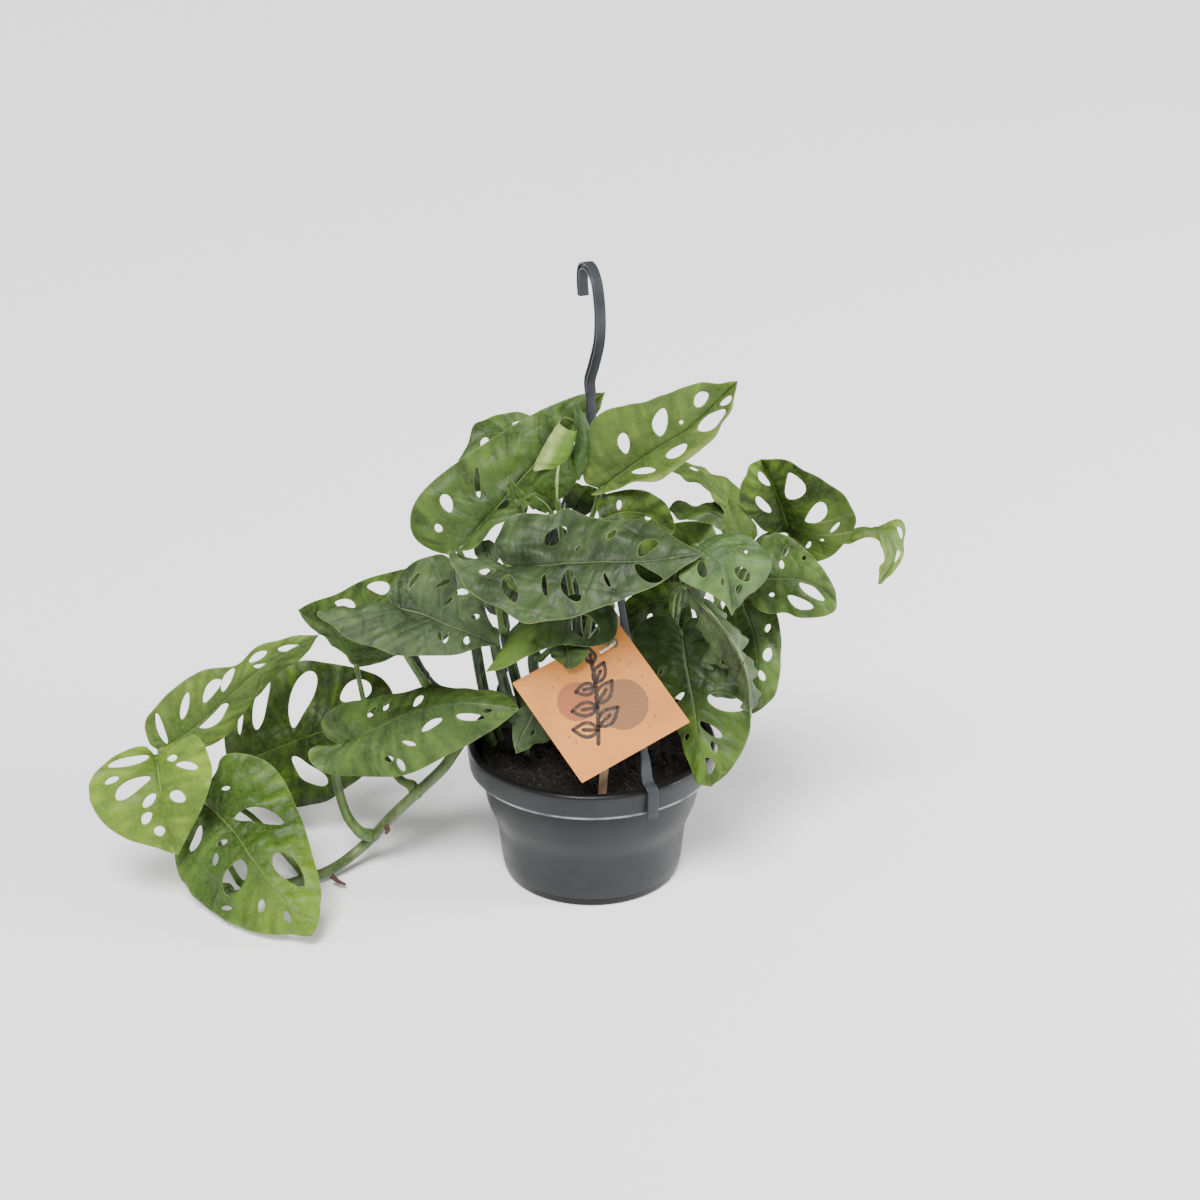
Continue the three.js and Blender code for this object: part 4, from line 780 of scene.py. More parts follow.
        "petiole": [[610, 612, 32], [590, 640, 8]], "foot": ["vine_centre", 0.38], "tilt": [-50, 20],
        "tone": "inner",
    },
    "leaf_y2": {
        "rib": [[566, 645, 54], [568, 655, 58], [571, 670, 60]],
        "first": [[556, 645], [546, 652], [556, 661]],
        "second": [[580, 645], [590, 650], [583, 661]],
        "holes": [],
        "petiole": [[562, 642, 44], [550, 650, 24]], "foot": ["vine_front", 0.7], "tilt": [-30, 10],
        "tone": "plain",
    },
    "leaf_z": {
        "rib": [[536, 706, 36], [529, 722, 40], [521, 738, 44], [516, 754, 46]],
        "first": [[528, 702], [514, 712], [512, 734]],
        "second": [[546, 716], [551, 738], [532, 746]],
        "holes": [[532, 732, 6, 4, 60]],
        "petiole": [[538, 702, 32], [540, 702, 20]], "foot": ["vine_front", 0.3], "tilt": [10, -20],
        "tone": "grey",
    },
    "leaf_aa": {
        "rib": [[690, 604, -16], [665, 600, -12], [640, 606, -8], [618, 622, -4]],
        "first": [[690, 590], [672, 582], [645, 588], [625, 602]],
        "second": [[690, 622], [668, 632], [645, 636], [626, 634]],
        "holes": [[650, 618, 8, 5, 60]],
        "petiole": [[698, 612, -18], [698, 632, -20]], "foot": ["vine_back", 0.4], "tilt": [-30, -10],
        "tone": "dark",
    },
    "leaf_ab": {
        "rib": [[492, 564, 22], [488, 554, 20], [481, 541, 16]],
        "first": [[484, 564], [476, 556], [475, 546]],
        "second": [[499, 559], [498, 548], [490, 540]],
        "holes": [],
        "petiole": [[494, 580, 16], [498, 605, 4]], "foot": ["vine_middle", 0.62], "tilt": [20, -20],
        "tone": "grey",
    },
    "leaf_e": {
        "rib": [[516, 500, 42], [512, 488, 46], [508, 476, 46]],
        "first": [[509, 498], [507, 486]],
        "second": [[524, 494], [516, 485]],
        "holes": [],
        "petiole": [[521, 510, 36], [530, 540, 18]], "foot": ["vine_middle", 0.97], "tilt": [20, -20],
        "tone": "plain",
    },
    "leaf_roll": {
        "rib": [[576, 512, -2], [582, 500, -1], [590, 486, 0]],
        "first": [[567, 506], [564, 495], [573, 484]],
        "second": [[584, 516], [597, 506], [600, 492]],
        "holes": [],
        "petiole": [[577, 521, -3]], "foot": ["vine_centre", 0.9], "tilt": [20, 20], "tone": "inner",
    },
    "leaf_back_1": {
        "rib": [[575, 548, -34], [574, 570, -58], [570, 605, -82], [562, 644, -96]],
        "first": [[564, 528], [542, 520], [526, 542], [524, 574], [530, 602], [544, 628]],
        "second": [[590, 532], [608, 530], [620, 556], [620, 584], [608, 612], [582, 636]],
        "holes": [[596, 560, 10, 6, -10], [538, 566, 8, 5, 20]],
        "petiole": [[576, 560, -28]], "foot": ["vine_centre", 0.8], "tilt": [-10, 10], "tone": "rear",
        "faces": "away",
    },
    "leaf_back_2": {
        "rib": [[712, 562, -48], [726, 570, -68], [742, 586, -86], [754, 606, -96]],
        "first": [[706, 572], [710, 588], [722, 600], [738, 607]],
        "second": [[720, 550], [736, 550], [752, 560], [760, 578], [760, 594]],
        "holes": [[728, 588, 12, 7, -50], [740, 564, 12, 7, 50]],
        "petiole": [[711, 576, -42]], "foot": ["vine_back", 0.79], "tilt": [10, -10], "tone": "rear",
        "faces": "away",
    },
    "leaf_inner": {
        "rib": [[672, 606, -22], [674, 580, -30], [690, 550, -34], [712, 523, -34]],
        "first": [[652, 606], [628, 590], [622, 562], [636, 537], [680, 522]],
        "second": [[688, 604], [704, 588], [714, 564], [718, 540]],
        "holes": [[690, 566, 12, 6, 20]],
        "petiole": [[672, 622, -26], [672, 642, -20]], "foot": ["vine_right", 0.55], "tilt": [-20, -20],
        "tone": "inner",
    },
    "leaf_curl": {
        "rib": [[552, 512, 30], [545, 503, 35], [532, 494, 38]],
        "first": [[540, 512], [529, 506], [526, 498]],
        "second": [[560, 508], [556, 498], [542, 491]],
        "holes": [],
        "petiole": [[545, 530, 24], [537, 556, 16], [524, 574, 6]], "foot": ["vine_middle", 0.88],
        "tilt": [10, -10], "tone": "young",
    },
    "leaf_back_3": {
        "rib": [[514, 522, -32], [500, 503, -52], [484, 485, -70], [472, 466, -80]],
        "first": [[498, 516], [480, 504], [466, 486], [464, 470]],
        "second": [[526, 508], [520, 488], [502, 470], [484, 460]],
        "holes": [[482, 496, 12, 7, -30], [506, 482, 14, 7, -30]],
        "petiole": [[510, 545, -26]], "foot": ["vine_middle", 0.9], "tilt": [-10, 10], "tone": "rear",
        "faces": "away",
    },
    "leaf_back_4": {
        "rib": [[516, 574, -34], [506, 584, -58], [496, 598, -78], [490, 614, -90]],
        "first": [[504, 568], [486, 572], [478, 588], [480, 604]],
        "second": [[528, 572], [540, 584], [536, 602], [516, 612], [502, 616]],
        "holes": [[522, 590, 12, 8, -10], [490, 586, 8, 6, 20]],
        "petiole": [[514, 590, -26]], "foot": ["vine_middle", 0.72], "tilt": [-10, 10], "tone": "rear",
        "faces": "away",
    },
    "leaf_back_5": {
        "rib": [[700, 650, -48], [714, 660, -72], [728, 676, -92], [738, 698, -102]],
        "first": [[692, 662], [696, 682], [712, 696], [728, 700]],
        "second": [[710, 638], [728, 640], [744, 654], [750, 674], [746, 690]],
        "holes": [[712, 680, 14, 8, -50], [731, 654, 12, 8, 50]],
        "petiole": [[694, 664, -42]], "foot": ["vine_back", 0.45], "tilt": [10, -10], "tone": "rear",
        "faces": "away",
    },
    "leaf_back_6": {
        "rib": [[598, 630, -50], [600, 652, -68], [606, 682, -90], [612, 708, -102]],
        "first": [[584, 620], [564, 628], [556, 654], [566, 684], [590, 706]],
        "second": [[612, 620], [634, 632], [644, 658], [640, 688], [626, 706]],
        "holes": [[580, 672, 16, 9, 10], [622, 672, 16, 9, -10], [588, 692, 12, 7, 20]],
        "petiole": [[592, 646, -42]], "foot": ["vine_centre", 0.34], "tilt": [-5, 5], "tone": "rear",
        "faces": "away",
    },
}

blade = {
    "step": 1.3,  # mm between mesh points
    "thickness": 0.62,
    "quilt": 0.4,  # how far the blade bulges between side veins
    "billow": 1.25,  # uneven rise and fall of the whole blade
    "crease": 0.55,  # depth of the wandering folds
    "camber": 0.035,  # arch of each half, as a share of its width
    "wave": 0.8,  # rise and fall of the margin
    "spacing": 10.5,  # mm between side veins where no hole sets them
    "veinBend": 0.06,  # how far a side vein leans towards the tip
    "sheetUnit": 0.62,  # mm for one unit of the drawing
    "finest": (0, 0.35, 0.8, 1.4, 2.2),  # mm from the rib to the first lines of mesh points
}
billowSizes = ((46, 1.0), (33, 0.9), (25, 0.75), (19, 0.6), (14, 0.4), (11, 0.25))  # mm, share of the rise
foldSizes = (30, 23, 17)
stem = {"radius": 3.5, "sides": 18, "foot": 75, "knot": 0.45, "groove": 0.35}
petiole = {"radius": 2.0, "sides": 12, "joint": 0.22, "sheath": 0.9}
stemCurves = {name: drawnCurve(place(rows), 3, 200) for name, rows in stems.items()}


def halfBlade(leaf, side):
    # one half of a blade: from shares along (q) and away from the rib (r) to drawn points
    base, tip = leaf["rib"][0][:2], leaf["rib"][-1][:2]
    ribCurve = drawnCurve(leaf["rib"])
    marginCurve = drawnCurve([base] + leaf["second" if side else "first"] + [tip])
    rise = blade["sheetUnit"] * math.tan(math.radians(leaf["tilt"][side]))

    def at(q, r):
        rib = ribCurve(np.maximum(q, 0) ** 1.5)
        outward = marginCurve(q)[..., :2] - rib[..., :2]
        reach = np.linalg.norm(outward, axis=-1)
        flat = rib[..., :2] + outward * np.asarray(r)[..., None]
        return np.concatenate([flat, (rib[..., 2] + reach * rise * r)[..., None]], axis=-1)
    return at


def nearest(half, hole):
    q, r = np.meshgrid(0.03 + np.arange(95) * 0.01, 0.05 + np.arange(46) * 0.02, indexing="ij")
    points = half(q, r)
    gap = np.hypot(points[..., 0] - hole[0], points[..., 1] - hole[1])
    best = np.unravel_index(gap.argmin(), gap.shape)
    return gap[best], q[best], r[best]


def holeLine(half, q, r, hole, corners, seed):
    # a hole's outline as [q, r] pairs: an oval with slightly drawn-out ends and an uneven edge
    step = 0.02
    alongQ = (half(q + step, r) - half(q - step, r)) / (2 * step)
    alongR = (half(q, r + step) - half(q, r - step)) / (2 * step)
    area = alongQ[0] * alongR[1] - alongQ[1] * alongR[0]
    turn, angle = math.radians(hole[4]), around(corners)
    uneven = 1 + 0.05 * np.sin(2 * angle + seed) + 0.04 * np.sin(3 * angle + seed * 2.3)
    x = 0.53 * hole[2] * np.cos(angle) * uneven
    y = 0.5 * hole[3] * np.sin(angle) * uneven * (1 - 0.12 * np.cos(angle) ** 2)
    du, dv = x * math.cos(turn) + y * math.sin(turn), y * math.cos(turn) - x * math.sin(turn)
    holeQ = q + (du * alongR[1] - dv * alongR[0]) / area
    holeR = r + (dv * alongQ[0] - du * alongQ[1]) / area
    return np.stack([holeQ, np.clip(holeR, 0.07, 0.93)], axis=1)


def veinPlaces(length, holeCentres):
    # side veins run between the holes, and at even spacing where there are none
    centres = sorted(holeCentres)
    between = [(a + b) / 2 for a, b in zip([0.02] + centres, centres + [1.0]) if b - a > 0.035]
    places = [0.0]
    for wanted in sorted(set(between + [1.0])):
        parts = max(1, round((wanted - places[-1]) * length / blade["spacing"]))
        for left in range(parts, 0, -1):
            places.append(places[-1] + (wanted - places[-1]) / left)
    return np.array(places)


def halfMesh(leaf, side, length, columns, seed):
    half = halfBlade(leaf, side)
    q = np.linspace(0, 1, columns + 1)
    wide = max(np.linalg.norm(place(half(q, np.ones_like(q))) - place(half(q, 0 * q)), axis=1).max(), 2.0)
    count = max(3, int((wide - 3) / blade["step"]))
    rows = np.concatenate([blade["finest"], np.linspace(2.2, wide - 0.9, count), [wide - 0.45, wide]]) / wide
    rows = np.unique(np.round(rows, 5))
    rows = rows[(rows >= 0) & (rows <= 1)]
    scale = np.array([length, wide])
    across = rows[1:-1]
    outline = np.concatenate([
        np.stack([q, 0 * q], axis=1), np.stack([np.ones_like(across), across], axis=1),
        np.stack([q, np.ones_like(q)], axis=1)[::-1], np.stack([0 * across, across], axis=1)[::-1]]) * scale
    lines, centres = [], []
    for i, hole in enumerate(h for h in leaf["holes"] if h[5] == side):
        corners = int(min(44, max(14, (hole[2] + hole[3]) * 0.9)))
        line = holeLine(half, hole[6], hole[7], hole, corners, seed + i)
        lines.append(line * scale)
        centres.append(float((line[:, 0] - blade["veinBend"] * line[:, 1] ** 2).mean()))
    flat, faces = cutSheet(meshGrid(q[1:-1], across) * scale, outline, lines, 0.3)
    q, r = (flat / scale).T
    points = place(half(q, np.clip(r, 0, 1)))
    places = veinPlaces(length, centres)
    phase = np.interp(q - blade["veinBend"] * r ** 2, places, np.arange(len(places)))
    ribMm = np.linalg.norm(points - place(half(q, 0 * q)), axis=1)
    return points, faces, np.column_stack([q, r, phase, ribMm, np.full(len(q), side)])


def billows(points, seed):
    # uneven rise and fall, and sharper folds that wander across
    random = np.random.default_rng(seed)
    height, fold = np.zeros(len(points)), np.zeros(len(points))
    for size, lift in billowSizes:
        for _ in range(2):
            heading = unit(random.normal(size=3))
            height += lift * np.sin(points @ heading * 2 * math.pi / size + random.uniform(0, 2 * math.pi))
    for size in foldSizes:
        heading, bend = random.normal(size=(2, 3))
        line = points @ unit(heading) / size + 0.22 * np.sin(points @ bend / 9 + random.uniform(0, 6))
        fold -= np.exp(-(np.sin(line * math.pi + random.uniform(0, 3)) / 0.16) ** 2)
    return height / 2.2, fold


def bladeData(q, r, phase, ribMm, edgeMm, shown):
    # what the leaf material reads on both skins: vein number and reach; share along, distance from the
    # rib and from the edge, and 1 on the underside
    veins = np.stack([phase, r], axis=1)
    upper = np.stack([q, ribMm / mostMm, edgeMm / mostMm, shown], axis=1)
    return np.tile(veins, (2, 1)), np.vstack([upper, upper * [1, 1, 1, 0] + [0, 0, 0, 1]])


def writeBlade(mesh, veins, values):
    corner = np.zeros(len(mesh.loops), np.int32)
    mesh.loops.foreach_get("vertex_index", corner)
    spare = ((0, len(mesh.vertices) - len(veins)), (0, 0))
    veins, values = [np.pad(rows, spare).astype(np.float32) for rows in (veins, values)]
    mesh.uv_layers.new(name="veins").data.foreach_set("uv", veins[corner].ravel())
    mesh.attributes.new("blade", "FLOAT_COLOR", "POINT").data.foreach_set("color", values.ravel())


def stalk(leaf, bladePoints, bladeNormals):
    # the leaf stalk runs from under the rib to the stem and clasps it
    inside = place(halfBlade(leaf, 0)(np.array([0.12]), np.zeros(1)))[0]
    base = place(leaf["rib"][:1])[0]
    under = bladeNormals[np.linalg.norm(bladePoints - inside, axis=1).argmin()]
    path = [inside - under * 1.2, base - under * 0.5] + list(place(leaf["petiole"]))
    curve, share = stemCurves[leaf["foot"][0]], leaf["foot"][1]
    before, node, after = curve(share + np.array([-0.01, 0, 0.01]))
    along = unit(after - before)
    out = path[-1] - node
    out = unit(out - along * out.dot(along))
    path += [node + out * (stem["radius"] + 2.8), node + out * (stem["radius"] - 0.9)]
    curve = drawnCurve(path, 3, 200)
    length = lineLength(curve(np.linspace(0, 1, 30)))
    t = np.linspace(0, 1, max(12, int(length / 2)) + 1)
    radius = leaf.get("stalk", petiole["radius"]) * (0.72 + 0.3 * t)
    radius *= 1 + petiole["joint"] * np.exp(-((t * length - 7) / 4) ** 2)  # thicker joint below the blade
    radius += petiole["sheath"] * smooth(0.82, 1, t)
    radius[0] *= 0.35
    return tube(curve(t), radius, petiole["sides"])


def ribJoined(halves):
    # both halves as one sheet, with its faces towards the eye and a normal for each point
    points = np.vstack([half[0] for half in halves])
    faces = np.vstack([halves[0][1], halves[1][1][:, ::-1] + len(halves[0][0])])
    data = np.vstack([half[2] for half in halves])
    _, first, back = np.unique(np.round(points, 3), axis=0, return_index=True, return_inverse=True)
    points, data, faces = points[first], data[first], back.reshape(-1)[faces]
    faces = faces[(faces != np.roll(faces, 1, axis=1)).all(axis=1)]
    a, b, c = points[faces].transpose(1, 0, 2)
    cross = np.cross(b - a, c - a)
    if (cross * (eye - a)).sum() < 0:
        faces, cross = faces[:, ::-1], -cross
    normals = np.zeros_like(points)
    for corner in faces.T:
        np.add.at(normals, corner, cross)
    return points, faces, unit(normals), data.T


def leafPiece(name, leaf):
    seed = sum(ord(c) * (i + 3) for i, c in enumerate(name)) % 97
    halves = [halfBlade(leaf, 0), halfBlade(leaf, 1)]
    t = np.linspace(0, 1, 80)
    lengths = [lineLength(place(half(t, np.ones_like(t)))) for half in halves]
    for hole in leaf["holes"]:
        found = [nearest(half, hole) for half in halves]
        side = 0 if found[0][0] <= found[1][0] else 1
        hole[5:] = [side, *found[side][1:]]
    columns = int(max(lengths) / blade["step"])
    parts = [halfMesh(leaf, side, lengths[side], columns, seed) for side in (0, 1)]
    points, faces, normals, (q, r, phase, ribMm, side) = ribJoined(parts)
    rimIds = np.unique(openEdges(faces))
    edgeMm = np.concatenate([
        np.linalg.norm(some[:, None] - points[rimIds][None], axis=2).min(axis=1)
        for some in np.split(points, range(2000, len(points), 2000))])

    # relief along the blade's normal
    toVein = np.abs(phase - np.round(phase))
    cell = np.random.default_rng(seed + 5).uniform(0.3, 1.4, 80)[np.floor(phase).astype(int) % 80]
    relief = blade["quilt"] * leaf.get("quilt", 1) * cell * np.sin(math.pi * toVein) ** 1.5
    relief *= smooth(0.5, 5, ribMm) * smooth(0, 3.5, edgeMm)
    fullReach = np.where(r > 0.02, ribMm / np.maximum(r, 0.02), ribMm)
    relief += blade["camber"] * fullReach * np.sin(math.pi * np.clip(r, 0, 1) ** 0.9)
    rise, fold = billows(points, seed)
    relief += blade["billow"] * leaf.get("billow", 1) * rise * (0.25 + 0.75 * smooth(0, 9, ribMm))
    relief += blade["crease"] * leaf.get("crease", 1) * fold * smooth(1, 8, ribMm) * smooth(0, 3, edgeMm)
    often = leaf.get("ripples", 1)
    ripple = np.sin(q * 19 * often + seed + side * 1.7) + 0.6 * np.sin(q * 37 * often + 2 * seed)
    ripple *= r ** 3 * smooth(0, 0.12, q) * smooth(0, 0.12, 1 - q)
    relief += blade["wave"] * leaf.get("wave", 1) * ripple
    # a margin that turns over towards the eye and shows some of the underside
    shown = np.zeros(len(points))
    if "turned" in leaf:
        turnedSide, fromQ, toQ, fromR, lift = leaf["turned"]
        shown = (side == turnedSide) * smooth(fromQ - 0.08, fromQ + 0.08, q) * smooth(toQ + 0.1, toQ - 0.1, q)
        shown *= smooth(fromR - 0.08, fromR + 0.2, r)
        relief += lift * shown * r
    groove = 0.45 * np.exp(-(ribMm / 0.8) ** 2) * smooth(0, 0.05, 1 - q)
    ridge = (1.0 - 0.75 * q) * np.exp(-(ribMm / 0.9) ** 2) * smooth(0, 0.04, q) * smooth(0, 0.06, 1 - q)
    half = blade["thickness"] / 2 * (0.45 + 0.55 * smooth(0, 1.2, edgeMm))

    if leaf.get("faces") == "away":
        faces, normals = faces[:, ::-1], -normals
    upper = points + normals * (relief - groove + half)[:, None]
    lower = points + normals * (relief - ridge - half)[:, None]
    surface, skin = shell(upper, lower, faces)
    allPoints, allFaces = joined((surface, skin), stalk(leaf, points, normals))
    low, high = np.array(cadBox) * 1000 + [[0.02], [-0.02]]
    slots = [0] * len(skin) + [1] * (len(allFaces) - len(skin))
    piece = makePiece(name + "_blade", (np.clip(allPoints, low, high), allFaces),
                      [leafMaterials[leaf["tone"]], stalkMat], (name,), slots)
    writeBlade(piece.data, *bladeData(q, r, phase, ribMm, edgeMm, shown * 0.8))


# the half unrolled young leaf: lines of drawn points from one edge to the other, from the base upwards
youngLeaf = {
    "cup": [
        [[549, 497, 40], [553, 499, 44], [557, 500, 46], [562, 498, 46], [567, 494, 42]],
        [[534, 491, 36], [545, 486, 46], [557, 483, 50], [567, 481, 48], [577, 480, 42]],
        [[534, 479, 34], [545, 473, 47], [558, 470, 51], [568, 470, 47], [579, 472, 38]],
        [[540, 468, 34], [549, 460, 45], [560, 456, 48], [569, 455, 44], [577, 460, 36]],
        [[549, 452, 34], [556, 446, 40], [562, 443, 42], [569, 440, 40], [576, 446, 34]],
    ],
    "flap": [
        [[577, 403, 33], [577.5, 404, 34], [578, 405, 33]],
        [[574, 412, 36], [580, 413, 39], [586, 418, 34]],
        [[575, 425, 38], [584, 427, 42], [591, 433, 34]],
        [[575, 440, 40], [585, 443, 43], [592, 449, 35]],
        [[573, 458, 40], [581, 460, 43], [587, 465, 36]],
        [[571, 474, 38], [575, 478, 40], [579, 481, 37]],
    ],
    "axis": [[550, 463, 43], [554, 455, 44], [559, 445, 45], [564, 434, 46], [568, 426, 46]],
    "radius": [7.2, 8.0, 7.8, 6.8, 5.6],
    "wound": (-1.75, 3.6),  # from where to where the roll goes round, in radians from the eye's side
    "tones": {"cup": "young", "roll": "pale", "flap": "mint"},
}


def sheetOf(lines, across=14, along=30):
    # a smooth sheet through lines of points
    lines = np.array([spline(line, np.linspace(0, 1, across + 1)) for line in lines])
    sheet = spline(lines.reshape(len(lines), -1), np.linspace(0, 1, along + 1))
    return sheet.reshape(along + 1, across + 1, 3)


def rolledSheet(steps=34, sides=40):
    t = np.linspace(0, 1, steps + 1)
    axis = spline(place(youngLeaf["axis"]), t)
    radius = spline(np.array(youngLeaf["radius"])[:, None], t)
    side, top = framesAlong(axis)
    toEye = unit(eye - axis)
    front = np.arctan2((toEye * top).sum(axis=1), (toEye * side).sum(axis=1))
    begin, end = youngLeaf["wound"]
    turn = np.linspace(begin, end, sides + 1)
    angle = (front[:, None] + turn)[..., None]
    lip = -8.5 * smooth(-0.3, 1.4, turn) * smooth(3.4, 2.0, turn)  # the lower edge drops towards the left
    rise = 3.0 * smooth(1.2, 2.6, turn)  # and the upper edge stands higher at the back
    ring = np.cos(angle) * side[:, None] + np.sin(angle) * top[:, None]
    ring *= (radius * (1 - 0.1 * (turn - begin) / (end - begin)))[..., None]
    ahead = unit(np.gradient(axis, axis=0))[:, None] * (lip * (1 - t)[:, None] + rise * t[:, None])[..., None]
    return axis[:, None] + ring + ahead, turn, toEye.mean(axis=0)


def youngLeafPiece(name, leaf):
    roll, turn, toEye = rolledSheet()
    cup, flap = sheetOf(place(youngLeaf["cup"])), sheetOf(place(youngLeaf["flap"]))
    sheets = {"cup": cup, "roll": roll, "flap": flap}
    meshes, slots, veins, values = [], [], [], []
    for index, (part, sheet) in enumerate(sheets.items()):
        rows, columns = sheet.shape[:2]
        ids = np.arange(rows * columns).reshape(rows, columns)
        quads = np.stack([ids[:-1, :-1], ids[:-1, 1:], ids[1:, 1:], ids[1:, :-1]], axis=-1).reshape(-1, 4)
        points = sheet.reshape(-1, 3)
        normals = unit(np.cross(np.gradient(sheet, axis=1), np.gradient(sheet, axis=0)).reshape(-1, 3))
        if ((eye - points) * normals).sum() < 0:
            normals, quads = -normals, quads[:, ::-1]
        down, along = np.divmod(np.arange(len(points)), columns)
        edgeMm = np.minimum.reduce([down, rows - 1 - down, along, columns - 1 - along]) * 0.8
        u, v = along / (columns - 1), down / (rows - 1)
        wave = 0.3 * np.sin(u * 9 + v * 14) + 0.2 * np.sin(v * 31 + index)
        wave *= smooth(0, 2, edgeMm) * (0.4 if part == "roll" else 1.0)
        half = 0.3 * (0.5 + 0.5 * smooth(0, 1.5, edgeMm))
        upper, lower = points + normals * (wave + half)[:, None], points + normals * (wave - half)[:, None]
        meshes.append(shell(upper, lower, quads))
        slots += [index] * len(meshes[-1][1])
        aside = np.abs(u - 0.5)
        ribMm = aside * 14 if part == "cup" else np.full(len(points), 30.0)
        # on the roll, reach follows the turn, so the painted shade on the roll's flank falls to one side
        reach = smooth(-0.8, 1.0, np.tile(turn, rows)) if part == "roll" else aside * 2
        data = bladeData(v, reach, v * 5 + aside * 1.5, ribMm, edgeMm, 0 * v)
        veins.append(data[0])
        values.append(data[1])
    cup = meshes[0][0]
    toEye = np.tile(toEye, (len(cup), 1))
    points, faces = joined(*meshes, stalk(leaf, cup, toEye))
    slots += [len(sheets)] * (len(faces) - len(slots))
    materials = [leafMaterials[youngLeaf["tones"][part]] for part in sheets] + [stalkMat]
    piece = makePiece(name + "_blade", (points, faces), materials, (name,), slots)
    writeBlade(piece.data, np.vstack(veins), np.vstack(values))


def stemPiece(name, material):
    curve = stemCurves[name]
    length = lineLength(curve(np.linspace(0, 1, 240)))
    t = np.linspace(0, 1, int(length / 1.1) + 1)
    points = curve(t)
    foot = np.array([*points[0][:2], stem["foot"]])
    points = np.vstack([foot + (points[0] - foot) * np.array([[0], [0.35], [0.7]]), points])
    t = np.concatenate([[0, 0, 0], t])
    angle = around(stem["sides"])
    radius = (stem["radius"] * (1 - 0.08 * t))[:, None] * (1 + 0.02 * np.sin(2 * angle + 1))
    for leaf in leaves.values():
        if leaf["foot"][0] == name:
            # swollen node with a narrow groove below it
            gap = (t - leaf["foot"][1])[:, None] * length
            radius += stem["knot"] * np.exp(-(gap / 2.6) ** 2)
            radius -= stem["groove"] * np.exp(-((gap + 3.2) / 0.45) ** 2)
    radius[-2:] *= [[0.9], [0.55]]
    makePiece(name + "_stem", tube(points, radius, stem["sides"]), [material], (name,))


leafMaterials = {tone: leafMaterial(tone) for tone in leafTones}
stalkMat = stalkMaterial("leafStalkSkin", "#506a2f", "#384e1c")
# the stems in the middle of the plant take darker colours than the trailing stem, as painted shade
stemMat = stalkMaterial("stemSkin", "#304222", "#1a2712")
trailMat = stalkMaterial("trailingStemSkin", "#54683a", "#34431e")
for name in stems:
    stemPiece(name, trailMat if name == "vine_trailing" else stemMat)
print("stems made")
for name, leaf in leaves.items():
    (youngLeafPiece if name == "leaf_d" else leafPiece)(name, leaf)
print("leaves made")

roots = {
    "aerial_root_1": [[332, 876, 30], [338, 881, 33], [346, 885, 34]],
    "aerial_root_2": [[386, 826, 21], [388, 830, 24], [385, 834, 26]],
}
rootShape = {"points": 24, "thick": 1.75, "thin": 0.9, "sides": 12}
# corky brown root tip: matt and grained
rootMat = grainMaterial("rootBark", "#2c1710", [("#5f3a28", (1.2, 4, 0.65), 0.35, 0.7)], 0.25, 0.75)
for name, rows in roots.items():
    count = rootShape["points"]
    radius = np.linspace(rootShape["thick"], rootShape["thin"], count)
    radius *= 1 + 0.08 * np.sin(np.arange(count) * 1.9)
    radius[-1] *= 0.3
    points = drawnCurve(place(rows), 3, 60)(np.linspace(0, 1, count))
    makePiece(name + "_tip", tube(points, radius, rootShape["sides"]), [rootMat], (name,))

pot = {
    "foot": [(0, 0), (51.6, 0), (53.2, 1.0)],
    "wall": [(53.4, 1.6), (54.9, 6), (56, 12), (56.9, 21), (58, 30), (59.6, 37), (62, 43), (64.4, 49.5),
             (66.1, 58), (67.2, 71.6)],
    "band": [(75.0, 72), (76.4, 84), (75.9, 87.2), (74.4, 88.4)],
    "inside": [(72.4, 88.4), (71.1, 87), (68.3, 80), (65.7, 72), (64.5, 58), (62.9, 49), (57.7, 37),
               (56.1, 30), (54.5, 12), (52, 3.3), (0, 3.3)],
    "fillet": 0.7,
    "segments": 128,
}
# (from, to) in metres: heights of the black foot, a painted contact shadow, and of the black top of the rim,
# painted shade; reach and height of the black inner wall, painted shade inside the pot; and the pale line
# along the band's lower edge, a painted highlight where the edge catches light, with some wear
potShades = {"foot": (0.0062, 0.0052), "rim": (0.0852, 0.0872), "innerReach": (0.0737, 0.0725),
             "innerHeight": (0.076, 0.079), "lineReach": (0.0738, 0.0746), "lineHeight": (0.0741, 0.0732)}


